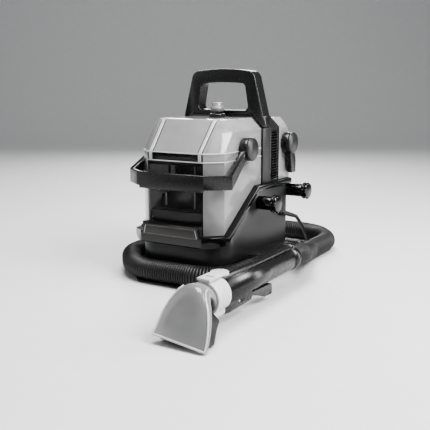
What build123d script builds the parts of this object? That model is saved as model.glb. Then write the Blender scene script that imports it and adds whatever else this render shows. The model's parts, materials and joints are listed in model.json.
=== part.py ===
from build123d import *
import os
from math import atan2, cos, pi, radians, sin

# A portable spot extractor, in millimetres.  +X is the machine's right, -Y its front, +Z up.
# The origin is on the floor, on the symmetry plane, under the carry handle.

os.makedirs("parts", exist_ok=True)

# ---------------------------------------------------------------- driving dimensions
HEIGHT = 358.0              # floor to the top of the carry handle
WALL = 2.5                  # casing and tank wall
FIT = 0.05                  # radial running clearance at pins and bores
GAP = 0.5                   # gap between neighbouring casings

FLOOR_STAND = 1.5           # rubber feet stand this far below the tray
TRAY_TOP = 3.5
TRAY_HALF = 93.0
TRAY_FRONT = -199.0
TRAY_REAR = 128.0

SHELL_BOTTOM = 27.0         # underside of the lower casing, above the hose groove
SHELL_HALF = 86.5
SHELL_FRONT = -165.0
SHELL_REAR = 117.0
SHELL_CORNER = 45.0

SEAT_FRONT = 84.0           # height of the seat under the front tank
SEAT_REAR = 155.0           # height of the seat under the spine and the water tank
RAMP_FRONT = -141.0         # the seat rises between these two depths
RAMP_REAR = -38.0
COLLAR_DEEP = 9.0           # height of the collar strip along the sides
COLLAR_HALF = 91.0
COLLAR_FRONT = -181.0
COLLAR_FACE = 60.0          # half-width of the collar's flat front
COLLAR_LIP = 103.0          # top of the collar in front of the tank

TANK_HALF = 81.0
TANK_CHAMFER = 25.0
FRONT_SHOULDER = 220.0      # where each lid starts to slope inward
REAR_SHOULDER = 238.0
TANK_SPLIT = 206.0          # joint between bucket and lid
TANK_TOP = 273.0
TANK_BEVEL = 19.0           # bevel along the lid's sides
FRONT_NEAR = -12.5          # the front tank, from the spine to its face
FRONT_FAR = -165.0
REAR_NEAR = 54.0
REAR_FAR = 128.0

SPINE_FRONT = -11.0
SPINE_REAR = 53.0
SPINE_HALF = 84.0
SPINE_SHOULDER = 254.0
SPINE_TOP = 276.0
LOUVRE_Y = 35.0             # centre of the louvred panels
LOUVRE_SIZE = (32.0, 92.0)
LOUVRE_Z = 203.0
SLATS = 17

PIVOT_Z = 223.0             # both bails turn at this height
FRONT_PIVOT_Y = -76.0
REAR_PIVOT_Y = 84.0
PIVOT_R = 6.0
HUB_R = 19.5
HUB_IN = 82.5
HUB_OUT = 95.0
CAP_OUT = 100.0
BAIL_HALF = 103.0
BAIL_THICK = 9.0
BAIL_TOP = 187.0
BAIL_DEEP = 23.0

HOOK_SPOTS = ((-29.0, 125.0), (99.0, 132.0))    # cord hooks on the right side, (Y, Z)
HOOK_R = 12.0
HOOK_TIP = 114.0
KNOB_R = 15.5
KNOB_LONG = 11.0
KNOB_PIN_R = 4.0
KNOB_PIN = 7.0              # length of the pin each knob turns on

HOSE_R = 18.5
HOSE_BORE = 15.0
HOSE_LIE = TRAY_TOP + HOSE_R + 0.1
CORD_R = 3.4

TOOL_X = 178.0              # the hand tool lies along this line
TOOL_Z = 50.0
GRIP_R = 19.5
GRIP_FRONT = -325.0
GRIP_REAR = -108.0
CAP_REAR = -86.0
COLLAR_LONG = 34.0
MOUTH_HALF = 42.0
MOUTH_Y = -421.0

MOTOR_Y = 45.0
MOTOR_R = 42.0


# ---------------------------------------------------------------- base
def tray_plan(inset):
    """Octagonal plan of the base tray inside the sketch that is open."""
    half = TRAY_HALF - inset
    front = TRAY_FRONT + inset
    rear = TRAY_REAR - inset
    cut = 38.0 - 0.6 * inset
    Polygon((-half + cut, front), (half - cut, front), (half, front + cut), (half, rear - cut),
            (half - cut, rear), (-half + cut, rear), (-half, rear - cut), (-half, front + cut),
            align=None)


FOOT_SPOTS = [(0.0, 0.0)] + [(x, y) for x in (-70.0, 70.0) for y in (-150.0, 100.0)]
FOOT_R = 11.0
FOOT_STEM_R = 4.0
PEDESTAL_HALF = 66.0
PEDESTAL_LONG = SHELL_REAR - SHELL_FRONT - 36.0
PEDESTAL_CORNER = 30.0

with BuildPart() as base_tray:
    with BuildSketch(Plane.XY.offset(FLOOR_STAND)):
        tray_plan(0)
    extrude(amount=TRAY_TOP - FLOOR_STAND)
    chamfer(base_tray.edges().group_by(Axis.Z)[-1], 0.6)
    # the pedestal that carries the lower casing above the hose groove
    with BuildSketch(Plane.XY.offset(TRAY_TOP)):
        with Locations((0, (SHELL_FRONT + SHELL_REAR) / 2)):
            RectangleRounded(2 * PEDESTAL_HALF, PEDESTAL_LONG, PEDESTAL_CORNER)
            RectangleRounded(2 * PEDESTAL_HALF - 2 * WALL, PEDESTAL_LONG - 2 * WALL,
                             PEDESTAL_CORNER - WALL, mode=Mode.SUBTRACT)
    extrude(amount=SHELL_BOTTOM - TRAY_TOP)
    with Locations(*[(x, y, FLOOR_STAND) for x, y in FOOT_SPOTS]):
        Hole(FOOT_STEM_R)
base_tray.part.label = "base_tray"
export_step(base_tray.part, "parts/base_tray.step")

with BuildPart() as rubber_feet:
    with BuildSketch(Plane.XY):
        with Locations(*FOOT_SPOTS):
            Circle(FOOT_R)
    extrude(amount=FLOOR_STAND)
    chamfer(rubber_feet.edges().group_by(Axis.Z)[0], 0.5)
    with BuildSketch(Plane.XY.offset(FLOOR_STAND)):
        with Locations(*FOOT_SPOTS):
            Circle(FOOT_STEM_R)
    extrude(amount=TRAY_TOP - FLOOR_STAND)
rubber_feet.part.label = "rubber_feet"
export_step(rubber_feet.part, "parts/rubber_feet.step")


# ---------------------------------------------------------------- lower casing and collar
def seat_line(drop):
    """Points of the seat in the side plane, from front to rear, lowered by a distance."""
    return [(SHELL_FRONT - 60, SEAT_FRONT - drop), (RAMP_FRONT, SEAT_FRONT - drop),
            (RAMP_REAR, SEAT_REAR - drop), (SHELL_REAR + 60, SEAT_REAR - drop)]


def casing_form(inset):
    """The lower casing as a solid, its skin moved inward by a distance."""
    length = SHELL_REAR - SHELL_FRONT - 2 * inset
    with BuildPart() as form:
        with BuildSketch(Plane.XY.offset(SHELL_BOTTOM)):
            with Locations((0, (SHELL_FRONT + SHELL_REAR) / 2)):
                RectangleRounded(2 * (SHELL_HALF - inset), length, SHELL_CORNER - inset)
        extrude(amount=SEAT_REAR + 20 - SHELL_BOTTOM)
        if inset == 0:
            fillet(form.edges().group_by(Axis.Z)[0], 9.0)
        with BuildSketch(Plane.YZ):
            Polygon(*seat_line(COLLAR_DEEP + inset), (SHELL_REAR + 60, 300), (SHELL_FRONT - 60, 300),
                    align=None)
        extrude(amount=200, both=True, mode=Mode.SUBTRACT)
    return form.part


casing_outside = casing_form(0)
casing_inside = casing_form(WALL)
SPINE_WELL = (2 * SPINE_HALF - 44, SPINE_REAR - SPINE_FRONT - 16)
SPINE_MID = (SPINE_FRONT + SPINE_REAR) / 2

with BuildPart() as lower_casing:
    add(casing_outside)
    add(casing_inside, mode=Mode.SUBTRACT)
    # air passage up into the spine
    with BuildSketch(Plane.XY.offset(SEAT_REAR)):
        with Locations((0, SPINE_MID)):
            RectangleRounded(*SPINE_WELL, 8)
    extrude(amount=-30, mode=Mode.SUBTRACT)
lower_casing.part.label = "lower_casing"
export_step(lower_casing.part, "parts/lower_casing.step")

PAN_TOP = SHELL_BOTTOM + WALL
with BuildPart() as floor_pan:
    with BuildSketch(Plane.XY.offset(SHELL_BOTTOM)):
        with Locations((0, (SHELL_FRONT + SHELL_REAR) / 2)):
            RectangleRounded(2 * (SHELL_HALF - WALL - 8), SHELL_REAR - SHELL_FRONT - 2 * (WALL + 8),
                             SHELL_CORNER - WALL - 8)
    extrude(amount=WALL)
    # slots that let the exhaust air out of the motor bay
    with Locations((0, MOTOR_Y - 92, PAN_TOP)):
        with GridLocations(9, 0, 9, 1):
            Box(4, 30, 3 * WALL, mode=Mode.SUBTRACT)
floor_pan.part.label = "floor_pan"
export_step(floor_pan.part, "parts/floor_pan.step")


def collar_plan(inset):
    """Plan of the glossy collar inside the sketch that is open."""
    half = COLLAR_HALF - inset
    front = COLLAR_FRONT + inset
    face = COLLAR_FACE - 0.45 * inset
    rear = SHELL_REAR + 8 - inset
    side = RAMP_FRONT - 13
    Polygon((-face, front), (face, front), (half, side), (half, rear - 30), (half - 30, rear),
            (-half + 30, rear), (-half, rear - 30), (-half, side), align=None)


with BuildPart() as trim_collar:
    with BuildSketch(Plane.XY.offset(60)):
        collar_plan(0)
    extrude(amount=110)
    # above the strip
    with BuildSketch(Plane.YZ):
        Polygon((COLLAR_FRONT - 20, COLLAR_LIP), (SHELL_FRONT - 5.0, COLLAR_LIP),
                (SHELL_FRONT - 5.0, SEAT_FRONT), *seat_line(0)[1:], (SHELL_REAR + 60, 300),
                (COLLAR_FRONT - 20, 300), align=None)
    extrude(amount=200, both=True, mode=Mode.SUBTRACT)
    # below the strip
    with BuildSketch(Plane.YZ):
        Polygon((COLLAR_FRONT - 20, 67), (SHELL_FRONT, 67), (RAMP_FRONT - 6, SEAT_FRONT - COLLAR_DEEP),
                *seat_line(COLLAR_DEEP)[1:], (SHELL_REAR + 60, 0), (COLLAR_FRONT - 20, 0), align=None)
    extrude(amount=200, both=True, mode=Mode.SUBTRACT)
    # the corners of the lip drop to the seat height beside the flat front
    for side in (-1, 1):
        with BuildSketch(Plane.XY.offset(SEAT_FRONT + 2)):
            Polygon((side * (COLLAR_FACE - 1), COLLAR_FRONT - 9), (side * 110, COLLAR_FRONT - 9),
                    (side * 110, RAMP_FRONT), (side * (COLLAR_FACE - 9), RAMP_FRONT), align=None)
        extrude(amount=40, mode=Mode.SUBTRACT)
    chamfer(trim_collar.faces().sort_by(Axis.Y)[0].edges(), 1.6)
    # clear of the lower casing and of the passage into the spine
    add(casing_outside, mode=Mode.SUBTRACT)
    with BuildSketch(Plane.XY.offset(SEAT_REAR)):
        with Locations((0, SPINE_MID)):
            RectangleRounded(*SPINE_WELL, 8)
    extrude(amount=-30, mode=Mode.SUBTRACT)
trim_collar.part.label = "trim_collar"
export_step(trim_collar.part, "parts/trim_collar.step")

PLATE_LOW = 81.0
PLATE_HIGH = 99.5
with BuildPart() as nameplate:
    with BuildSketch(Plane.XZ.offset(-COLLAR_FRONT)):
        Polygon((-57, PLATE_LOW), (57, PLATE_LOW), (53, PLATE_HIGH), (-53, PLATE_HIGH), align=None)
    extrude(amount=1.2)
    chamfer(nameplate.faces().sort_by(Axis.Y)[0].edges(), 0.4)
nameplate.part.label = "nameplate"
export_step(nameplate.part, "parts/nameplate.step")


# ---------------------------------------------------------------- spine and handle
def spine_outline(inset):
    """Front view of the spine inside the sketch that is open."""
    half = SPINE_HALF - inset
    top = SPINE_TOP - inset
    bevel = SPINE_TOP - SPINE_SHOULDER - 0.4 * inset
    Polygon((-half, SEAT_REAR), (half, SEAT_REAR), (half, top - bevel), (half - bevel, top),
            (-half + bevel, top), (-half, top - bevel), align=None)


with BuildPart() as spine_casing:
    with BuildSketch(Plane.XZ.offset(-SPINE_REAR)):
        spine_outline(0)
    extrude(amount=SPINE_REAR - SPINE_FRONT)
    with BuildSketch(Plane.XZ.offset(-SPINE_REAR + WALL)):
        spine_outline(WALL)
    extrude(amount=SPINE_REAR - SPINE_FRONT - 2 * WALL, mode=Mode.SUBTRACT)
    with Locations((0, SPINE_MID, SEAT_REAR + WALL / 2)):
        Box(SPINE_WELL[0], SPINE_WELL[1], 3 * WALL, mode=Mode.SUBTRACT)
    # openings for the louvred panels in both side walls
    with Locations((0, LOUVRE_Y, LOUVRE_Z)):
        Box(2 * SPINE_HALF + 10, *LOUVRE_SIZE, mode=Mode.SUBTRACT)
spine_casing.part.label = "spine_casing"
export_step(spine_casing.part, "parts/spine_casing.step")

SLAT_PITCH = (LOUVRE_SIZE[1] - 8) / SLATS


def louvre_panel(side):
    """A louvred panel: a frame with sloping slats, set just inside the spine's side."""
    middle = side * (SPINE_HALF - 2.3)
    with BuildPart() as panel:
        with Locations((middle, LOUVRE_Y, LOUVRE_Z)):
            Box(3, LOUVRE_SIZE[0] - 2 * FIT, LOUVRE_SIZE[1] - 2 * FIT)
            Box(4, LOUVRE_SIZE[0] - 6, LOUVRE_SIZE[1] - 6, mode=Mode.SUBTRACT)
        heights = [LOUVRE_Z + (i - (SLATS - 1) / 2) * SLAT_PITCH for i in range(SLATS)]
        with Locations(*[Location((middle, LOUVRE_Y, height), (0, side * 35, 0)) for height in heights]):
            Box(3.4, LOUVRE_SIZE[0] - 5, 1.3)
    return panel.part


louvre_panels = [louvre_panel(side) for side in (1, -1)]
with BuildPart() as spine_louvres:
    add(louvre_panels)
spine_louvres.part.label = "spine_louvres"
export_step(spine_louvres.part, "parts/spine_louvres.step")

HANDLE_REAR = 17.0
HANDLE_TOP_HALF = 63.0
HANDLE_LOW_HALF = 82.0
HANDLE_LOW = SPINE_TOP + 1.0
OPEN_LOW = 285.0
OPEN_HIGH = 334.0

with BuildPart() as carry_handle:
    with BuildSketch(Plane.XZ.offset(-HANDLE_REAR)):
        with BuildLine():
            Polyline((HANDLE_TOP_HALF, HEIGHT - 5), (HANDLE_LOW_HALF, HANDLE_LOW),
                     (SPINE_HALF, SPINE_SHOULDER), (-SPINE_HALF, SPINE_SHOULDER),
                     (-HANDLE_LOW_HALF, HANDLE_LOW), (-HANDLE_TOP_HALF, HEIGHT - 5))
            ThreePointArc((-HANDLE_TOP_HALF, HEIGHT - 5), (0, HEIGHT), (HANDLE_TOP_HALF, HEIGHT - 5))
        make_face()
        with BuildLine():
            Polyline((-53, OPEN_LOW), (53, OPEN_LOW), (45, OPEN_HIGH - 2))
            ThreePointArc((45, OPEN_HIGH - 2), (0, OPEN_HIGH), (-45, OPEN_HIGH - 2))
            Line((-45, OPEN_HIGH - 2), (-53, OPEN_LOW))
        make_face(mode=Mode.SUBTRACT)
    extrude(amount=HANDLE_REAR - SPINE_FRONT)
    # shaped to sit on the spine's bevelled shoulders
    with BuildSketch(Plane.XZ.offset(-HANDLE_REAR - 10)):
        spine_outline(-0.02)
    extrude(amount=HANDLE_REAR - SPINE_FRONT + 20, mode=Mode.SUBTRACT)
    outer_corners = carry_handle.edges().filter_by(Axis.Y).group_by(Axis.Z)[-1]
    fillet(outer_corners, 15)
    opening_corners = carry_handle.edges().filter_by(Axis.Y).filter_by(
        lambda e: OPEN_LOW - 1 < e.center().Z < OPEN_HIGH and abs(e.center().X) < 54)
    fillet(opening_corners, 8)
    rims = [e for f in carry_handle.faces().filter_by(Axis.Y) for e in f.edges()
            if e.center().Z > HANDLE_LOW + 4]
    fillet(rims, 2.5)
carry_handle.part.label = "carry_handle"
export_step(carry_handle.part, "parts/carry_handle.step")


# ---------------------------------------------------------------- tanks
def tank_plan(near, far, inset):
    """Plan of a tank with its two outer corners cut, inside the sketch that is open."""
    out = 1 if far > near else -1
    face = TANK_HALF - TANK_CHAMFER - 1
    Polygon((-TANK_HALF, near), (TANK_HALF, near), (TANK_HALF, far - out * TANK_CHAMFER),
            (face, far), (-face, far), (-TANK_HALF, far - out * TANK_CHAMFER), align=None)
    if inset:
        offset(amount=-inset, kind=Kind.INTERSECTION, mode=Mode.REPLACE)


def bevel_planes(far, out, inset):
    """Planes that cut the lid's side bevels, its outer slope and its two corner facets."""
    shoulder = FRONT_SHOULDER if out < 0 else REAR_SHOULDER
    slope = atan2(42, 50)           # lean of the outer slope from the upright
    lean = atan2(27, 50)            # lean of the corner facets
    faces = [((0, far, shoulder), (0, out * cos(slope), sin(slope)))]
    for side in (-1, 1):
        faces.append(((side * TANK_HALF, 0, TANK_TOP - TANK_BEVEL), (side * cos(pi / 4), 0, sin(pi / 4))))
        corner = (side * TANK_HALF, far - out * TANK_CHAMFER, shoulder)
        faces.append((corner, (side * cos(lean) * cos(pi / 4), out * cos(lean) * cos(pi / 4), sin(lean))))
    planes = []
    for point, normal in faces:
        inner = tuple(p - inset * n for p, n in zip(point, normal))
        planes.append(Plane(origin=inner, z_dir=normal))
    return planes


def tank_form(near, far, inset, low, high):
    """A tank as a solid between two heights, its skin moved inward by a distance."""
    out = 1 if far > near else -1
    with BuildPart() as form:
        with BuildSketch(Plane.XY.offset(low)):
            tank_plan(near, far, inset)
        extrude(amount=high - low)
        if high > FRONT_SHOULDER:
            for plane in bevel_planes(far, out, inset):
                split(bisect_by=plane, keep=Keep.BOTTOM)
    return form.part


def seat_cut(lift):
    """Everything below the seat line raised by a distance."""
    with BuildPart() as cut:
        with BuildSketch(Plane.YZ):
            Polygon(*seat_line(-lift), (SHELL_REAR + 60, -20), (SHELL_FRONT - 60, -20), align=None)
        extrude(amount=200, both=True)
    return cut.part


below_seat = seat_cut(GAP)
below_tank_floor = seat_cut(GAP + WALL)
TANK_LOW = SEAT_FRONT - 5
SEAL_LOW = TANK_SPLIT - 7.0


def pivot_bosses(y):
    """Two solid pivot pins through the tank's side walls."""
    with BuildPart() as pins:
        with BuildSketch(Plane.YZ.offset(TANK_HALF - WALL - 3)):
            with Locations((y, PIVOT_Z)):
                Circle(PIVOT_R)
        extrude(amount=HUB_OUT - 3 - (TANK_HALF - WALL - 3))
        with BuildSketch(Plane.YZ.offset(TANK_HALF - WALL - 3)):
            with Locations((y, PIVOT_Z)):
                Circle(PIVOT_R + 4)
        extrude(amount=3)
        mirror(about=Plane.YZ)
    return pins.part


def pivot_rod(y, radius):
    """Rod along X that opens the pivot holes on both sides."""
    with BuildPart() as rod:
        with BuildSketch(Plane.YZ):
            with Locations((y, PIVOT_Z)):
                Circle(radius)
        extrude(amount=2 * TANK_HALF, both=True)
    return rod.part


front_rod = pivot_rod(FRONT_PIVOT_Y, PIVOT_R)
front_outside = tank_form(FRONT_NEAR, FRONT_FAR, 0, TANK_LOW, TANK_SPLIT)
front_hollow = tank_form(FRONT_NEAR, FRONT_FAR, WALL, TANK_LOW, TANK_SPLIT + 1) - below_tank_floor
with BuildPart() as front_tank:
    add(front_outside)
    add(below_seat, mode=Mode.SUBTRACT)
    add(front_hollow, mode=Mode.SUBTRACT)
front_tank.part.label = "front_tank"
export_step(front_tank.part, "parts/front_tank.step")

BUTTON_Y = -29.0
BUTTON_HOLE = 9.5
PORT_X = 10.0               # the dirty-air intake at the tank's back
OUTLET_X = -34.0            # the clean-air outlet beside it
PORT_R = 13.0
PORT_Z = 236.0
front_lid_outside = tank_form(FRONT_NEAR, FRONT_FAR, 0, TANK_SPLIT, TANK_TOP)
front_lid_inside = tank_form(FRONT_NEAR, FRONT_FAR, WALL, TANK_SPLIT - 1, TANK_TOP - WALL)
with BuildPart() as front_lid:
    add(front_lid_outside)
    add(front_lid_inside, mode=Mode.SUBTRACT)
    add(front_rod, mode=Mode.SUBTRACT)
    with Locations((0, BUTTON_Y, TANK_TOP)):
        Hole(BUTTON_HOLE, 20)
    with BuildSketch(Plane.XZ.offset(-FRONT_NEAR)):
        with Locations((OUTLET_X, PORT_Z), (PORT_X, PORT_Z)):
            Circle(PORT_R - 4)
    extrude(amount=WALL + 1, both=True, mode=Mode.SUBTRACT)
front_lid.part.label = "front_lid"
export_step(front_lid.part, "parts/front_lid.step")


def rim_seal(near, far):
    """Rubber frame inside the top of a bucket, with a lip under the lid."""
    outer = tank_form(near, far, WALL, SEAL_LOW, TANK_SPLIT)
    inner = tank_form(near, far, WALL + 4, SEAL_LOW - 1, TANK_SPLIT + 20)
    upper = tank_form(near, far, WALL, TANK_SPLIT, TANK_SPLIT + 7)
    return (outer + upper) - inner


front_frame = rim_seal(FRONT_NEAR, FRONT_FAR)
with BuildPart() as front_seal:
    add(front_frame)
front_seal.part.label = "front_seal"
export_step(front_seal.part, "parts/front_seal.step")

front_pins = pivot_bosses(FRONT_PIVOT_Y)
with BuildPart() as front_pivots:
    add(front_pins)
front_pivots.part.label = "front_pivots"
export_step(front_pivots.part, "parts/front_pivots.step")

# separator tower: a dark box hanging from the rim, wider at its lower left
TOWER_RIGHT = 30.0
TOWER_STEP = -11.0
TOWER_LEFT = -50.0
TOWER_FRONT = -146.0
TOWER_BACK = -62.0
TOWER_LOW = 124.0
TOWER_TOP = TANK_SPLIT + 8.0
DUCT_Y = TOWER_BACK + 12.0
tower_clear = seat_cut(GAP + WALL + 4)
with BuildPart() as separator_tower:
    with BuildSketch(Plane.XZ.offset(-TOWER_BACK)):
        Polygon((TOWER_LEFT, TOWER_LOW - 30), (TOWER_RIGHT, TOWER_LOW - 30), (TOWER_RIGHT, TOWER_TOP),
                (TOWER_STEP, TOWER_TOP), (TOWER_STEP, TOWER_LOW + 34), (TOWER_LEFT + 10, TOWER_LOW + 22),
                align=None)
    extrude(amount=TOWER_BACK - TOWER_FRONT)
    with BuildSketch(Plane.XZ.offset(-TOWER_BACK + WALL)):
        Polygon((TOWER_LEFT + WALL, TOWER_LOW - 30), (TOWER_RIGHT - WALL, TOWER_LOW - 30),
                (TOWER_RIGHT - WALL, TOWER_TOP - WALL), (TOWER_STEP + WALL, TOWER_TOP - WALL),
                (TOWER_STEP + WALL, TOWER_LOW + 32), (TOWER_LEFT + 12, TOWER_LOW + 20), align=None)
    extrude(amount=TOWER_BACK - TOWER_FRONT - 2 * WALL, mode=Mode.SUBTRACT)
    with Locations((0, (TOWER_FRONT + TOWER_BACK) / 2, TOWER_LOW - 20)):
        Box(120, 100, 40, mode=Mode.SUBTRACT)
    add(tower_clear, mode=Mode.SUBTRACT)
    # duct from the tower up to the intake in the tank's back wall
    with Locations((PORT_X, (TOWER_BACK + FRONT_NEAR) / 2 - 8, PORT_Z - 2)):
        Box(2 * PORT_R, FRONT_NEAR - TOWER_BACK + 10, 2 * PORT_R - 2)
    with Locations((PORT_X, DUCT_Y, PORT_Z - 2)):
        Box(2 * PORT_R - 2 * WALL, FRONT_NEAR - TOWER_BACK, 2 * PORT_R - 2 - 2 * WALL, mode=Mode.SUBTRACT)
    with Locations((PORT_X, TOWER_BACK - 8, (TOWER_TOP + PORT_Z - PORT_R) / 2)):
        Box(2 * PORT_R, 16, PORT_Z - PORT_R - TOWER_TOP + 4)
separator_tower.part.label = "separator_tower"
export_step(separator_tower.part, "parts/separator_tower.step")

FLOAT_AT = (-36.0, -100.0)
FLOAT_R = 12.0
FLOAT_HIGH = 20.0
FLOAT_REST = 176.0
CAGE_LOW = 160.0
CAGE_HIGH = 214.0
ROD_R = 2.2
with BuildPart() as float_cage:
    with BuildSketch(Plane.XY.offset(CAGE_HIGH - 4)):
        with Locations(FLOAT_AT):
            Circle(FLOAT_R + 7)
            Circle(7, mode=Mode.SUBTRACT)
    extrude(amount=4)
    with BuildSketch(Plane.XY.offset(CAGE_LOW)):
        with Locations(FLOAT_AT):
            Circle(FLOAT_R + 7)
    extrude(amount=3)
    with BuildSketch(Plane.XY.offset(CAGE_LOW)):
        with Locations(FLOAT_AT):
            with PolarLocations(FLOAT_R + 4.5, 4, start_angle=45):
                Circle(ROD_R)
    extrude(amount=CAGE_HIGH - CAGE_LOW)
    # arm that carries the cage from the separator tower
    with Locations(((FLOAT_AT[0] + FLOAT_R + TOWER_STEP) / 2, FLOAT_AT[1], CAGE_HIGH - 2)):
        Box(TOWER_STEP - FLOAT_AT[0] - FLOAT_R - 0.1, 16, 4)
float_cage.part.label = "float_cage"
export_step(float_cage.part, "parts/float_cage.step")

with BuildPart() as float_ball:
    with Locations((FLOAT_AT[0], FLOAT_AT[1], FLOAT_REST)):
        Cylinder(FLOAT_R, FLOAT_HIGH)
    fillet(float_ball.edges().filter_by(GeomType.CIRCLE), 6)
float_ball.part.label = "float_ball"
export_step(float_ball.part, "parts/float_ball.step")

# release button on the front lid: collar ring, sprung push knob
BUTTON_TRAVEL = 3.5
RING_R = 15.5
RING_TOP = TANK_TOP + 6.0
STEM_R = 5.0
KNOB_LOW = RING_TOP + BUTTON_TRAVEL + 0.6
KNOB_TOP = 299.0
with BuildPart() as button_ring:
    with BuildSketch(Plane.XY.offset(TANK_TOP)):
        with Locations((0, BUTTON_Y)):
            Circle(RING_R)
    extrude(amount=RING_TOP - TANK_TOP)
    fillet(button_ring.edges().group_by(Axis.Z)[-1], 1.8)
    with BuildSketch(Plane.XY.offset(TANK_TOP)):
        with Locations((0, BUTTON_Y)):
            Circle(BUTTON_HOLE - 0.02)
    extrude(amount=-8)
    with Locations((0, BUTTON_Y, RING_TOP)):
        Hole(STEM_R + FIT)
    # pocket for the return spring, open at the top
    with BuildSketch(Plane.XY.offset(RING_TOP)):
        with Locations((0, BUTTON_Y)):
            Circle(BUTTON_HOLE - 1.5)
    extrude(amount=-9, mode=Mode.SUBTRACT)
button_ring.part.label = "button_ring"
export_step(button_ring.part, "parts/button_ring.step")

with BuildPart() as release_button:
    with BuildSketch(Plane.XZ.offset(-BUTTON_Y)):
        with BuildLine():
            Polyline((0, TANK_TOP - 14), (STEM_R + 2, TANK_TOP - 14), (STEM_R + 2, TANK_TOP - 12.5),
                     (STEM_R, TANK_TOP - 12.5), (STEM_R, KNOB_LOW), (12, KNOB_LOW), (12, KNOB_TOP - 8),
                     (9.5, KNOB_TOP - 6.5), (9.5, KNOB_TOP - 1), (8.5, KNOB_TOP), (0, KNOB_TOP), close=True)
        make_face()
    revolve(axis=Axis((0, BUTTON_Y, 0), (0, 0, 1)))
release_button.part.label = "release_button"
export_step(release_button.part, "parts/release_button.step")


def coil(radius, wire, low, high, turns):
    """A coil spring about the Z axis, its ends at two heights."""
    rise = high - low - 2 * wire
    with BuildPart() as spring:
        with BuildLine() as path:
            Helix(pitch=rise / turns, height=rise, radius=radius, center=(0, 0, low + wire))
        with BuildSketch(Plane(origin=path.line @ 0, z_dir=path.line % 0)):
            Circle(wire)
        sweep(is_frenet=True)
    return spring.part


button_coil = coil(6.5, 0.45, RING_TOP - 9, RING_TOP + BUTTON_TRAVEL + 0.5, 3)
with BuildPart() as button_spring:
    with Locations((0, BUTTON_Y, 0)):
        add(button_coil)
button_spring.part.label = "button_spring"
export_step(button_spring.part, "parts/button_spring.step")


# ---------------------------------------------------------------- bails
def bail_hubs(y):
    """Two drums that turn on a tank's pivot pins."""
    with BuildPart() as hubs:
        with BuildSketch(Plane.YZ.offset(HUB_IN)):
            with Locations((y, PIVOT_Z)):
                Circle(HUB_R)
                Circle(PIVOT_R + FIT, mode=Mode.SUBTRACT)
        extrude(amount=HUB_OUT - HUB_IN)
        mirror(about=Plane.YZ)
    return hubs.part


def bail_caps(y):
    """Bevelled discs that close the two drums."""
    with BuildPart() as caps:
        with BuildSketch(Plane.YZ.offset(HUB_OUT)):
            with Locations((y, PIVOT_Z)):
                Circle(HUB_R)
        extrude(amount=CAP_OUT - HUB_OUT)
        chamfer(caps.edges().group_by(Axis.X)[-1], 1.8)
        mirror(about=Plane.YZ)
    return caps.part


def bail_arm(y_hub, z_hub, y_end, z_end, deep_hub, deep_end):
    """Straight tapering arm on the right side, from the hub out to the band's corner."""
    with BuildPart() as arm:
        with BuildSketch(Plane.XZ.offset(-y_hub)):
            with Locations(((HUB_IN + HUB_OUT) / 2, z_hub)):
                Rectangle(BAIL_THICK, deep_hub)
        with BuildSketch(Plane.XZ.offset(-y_end)):
            with Locations((BAIL_HALF - BAIL_THICK / 2, z_end)):
                Rectangle(BAIL_THICK, deep_end)
        loft(ruled=True)
    return arm.part


def bail_band(half, corner_y, front_y, face_half, low, high):
    """Band in plan: both corners and the grip, as one bent bar."""
    out = -1 if front_y < corner_y else 1
    with BuildPart() as band:
        with BuildSketch(Plane.XY.offset(low)):
            Polygon((half, corner_y), (face_half, front_y), (-face_half, front_y), (-half, corner_y),
                    (-half + BAIL_THICK, corner_y), (-face_half + 4, front_y - out * BAIL_THICK),
                    (face_half - 4, front_y - out * BAIL_THICK), (half - BAIL_THICK, corner_y), align=None)
        extrude(amount=high - low)
    return band.part


BAND_CORNER_Y = -153.0
BAND_FRONT_Y = -182.0
BAND_FACE = 66.0
BAND_MID = BAIL_TOP - BAIL_DEEP / 2
front_hubs = bail_hubs(FRONT_PIVOT_Y)
front_arm = bail_arm(FRONT_PIVOT_Y - 12, PIVOT_Z - 8, BAND_CORNER_Y, BAND_MID, 19, BAIL_DEEP)
front_band = bail_band(BAIL_HALF, BAND_CORNER_Y, BAND_FRONT_Y, BAND_FACE, BAIL_TOP - BAIL_DEEP, BAIL_TOP)
front_bore = pivot_rod(FRONT_PIVOT_Y, PIVOT_R + FIT)
with BuildPart() as front_bail:
    add(front_hubs)
    add(front_arm)
    add(front_arm.mirror(Plane.YZ))
    add(front_bore, mode=Mode.SUBTRACT)
    add(front_band)
    # deeper grip along the flat front
    with Locations((0, BAND_FRONT_Y + BAIL_THICK / 2, BAIL_TOP - BAIL_DEEP - 2)):
        Box(2 * BAND_FACE - 8, BAIL_THICK, 5)
front_bail.part.label = "front_bail"
export_step(front_bail.part, "parts/front_bail.step")

front_caps = bail_caps(FRONT_PIVOT_Y)
with BuildPart() as front_hub_caps:
    add(front_caps)
front_hub_caps.part.label = "front_hub_caps"
export_step(front_hub_caps.part, "parts/front_hub_caps.step")

# ---------------------------------------------------------------- water tank
REAR_TOP = TANK_TOP - 3.0
rear_rod = pivot_rod(REAR_PIVOT_Y, PIVOT_R)
rear_outside = tank_form(REAR_NEAR, REAR_FAR, 0, SEAT_REAR + GAP, TANK_SPLIT)
rear_hollow = tank_form(REAR_NEAR, REAR_FAR, WALL, SEAT_REAR + GAP + WALL, TANK_SPLIT + 1)
rear_lid_outside = tank_form(REAR_NEAR, REAR_FAR, 0, TANK_SPLIT, REAR_TOP)
rear_lid_hollow = tank_form(REAR_NEAR, REAR_FAR, WALL, TANK_SPLIT - 1, REAR_TOP - WALL)
VALVE_AT = (0.0, 88.0)
VALVE_R = 7.0
with BuildPart() as rear_tank:
    add(rear_outside)
    add(rear_hollow, mode=Mode.SUBTRACT)
    with Locations((*VALVE_AT, SEAT_REAR + GAP)):
        Hole(VALVE_R + FIT)
rear_tank.part.label = "rear_tank"
export_step(rear_tank.part, "parts/rear_tank.step")

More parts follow.
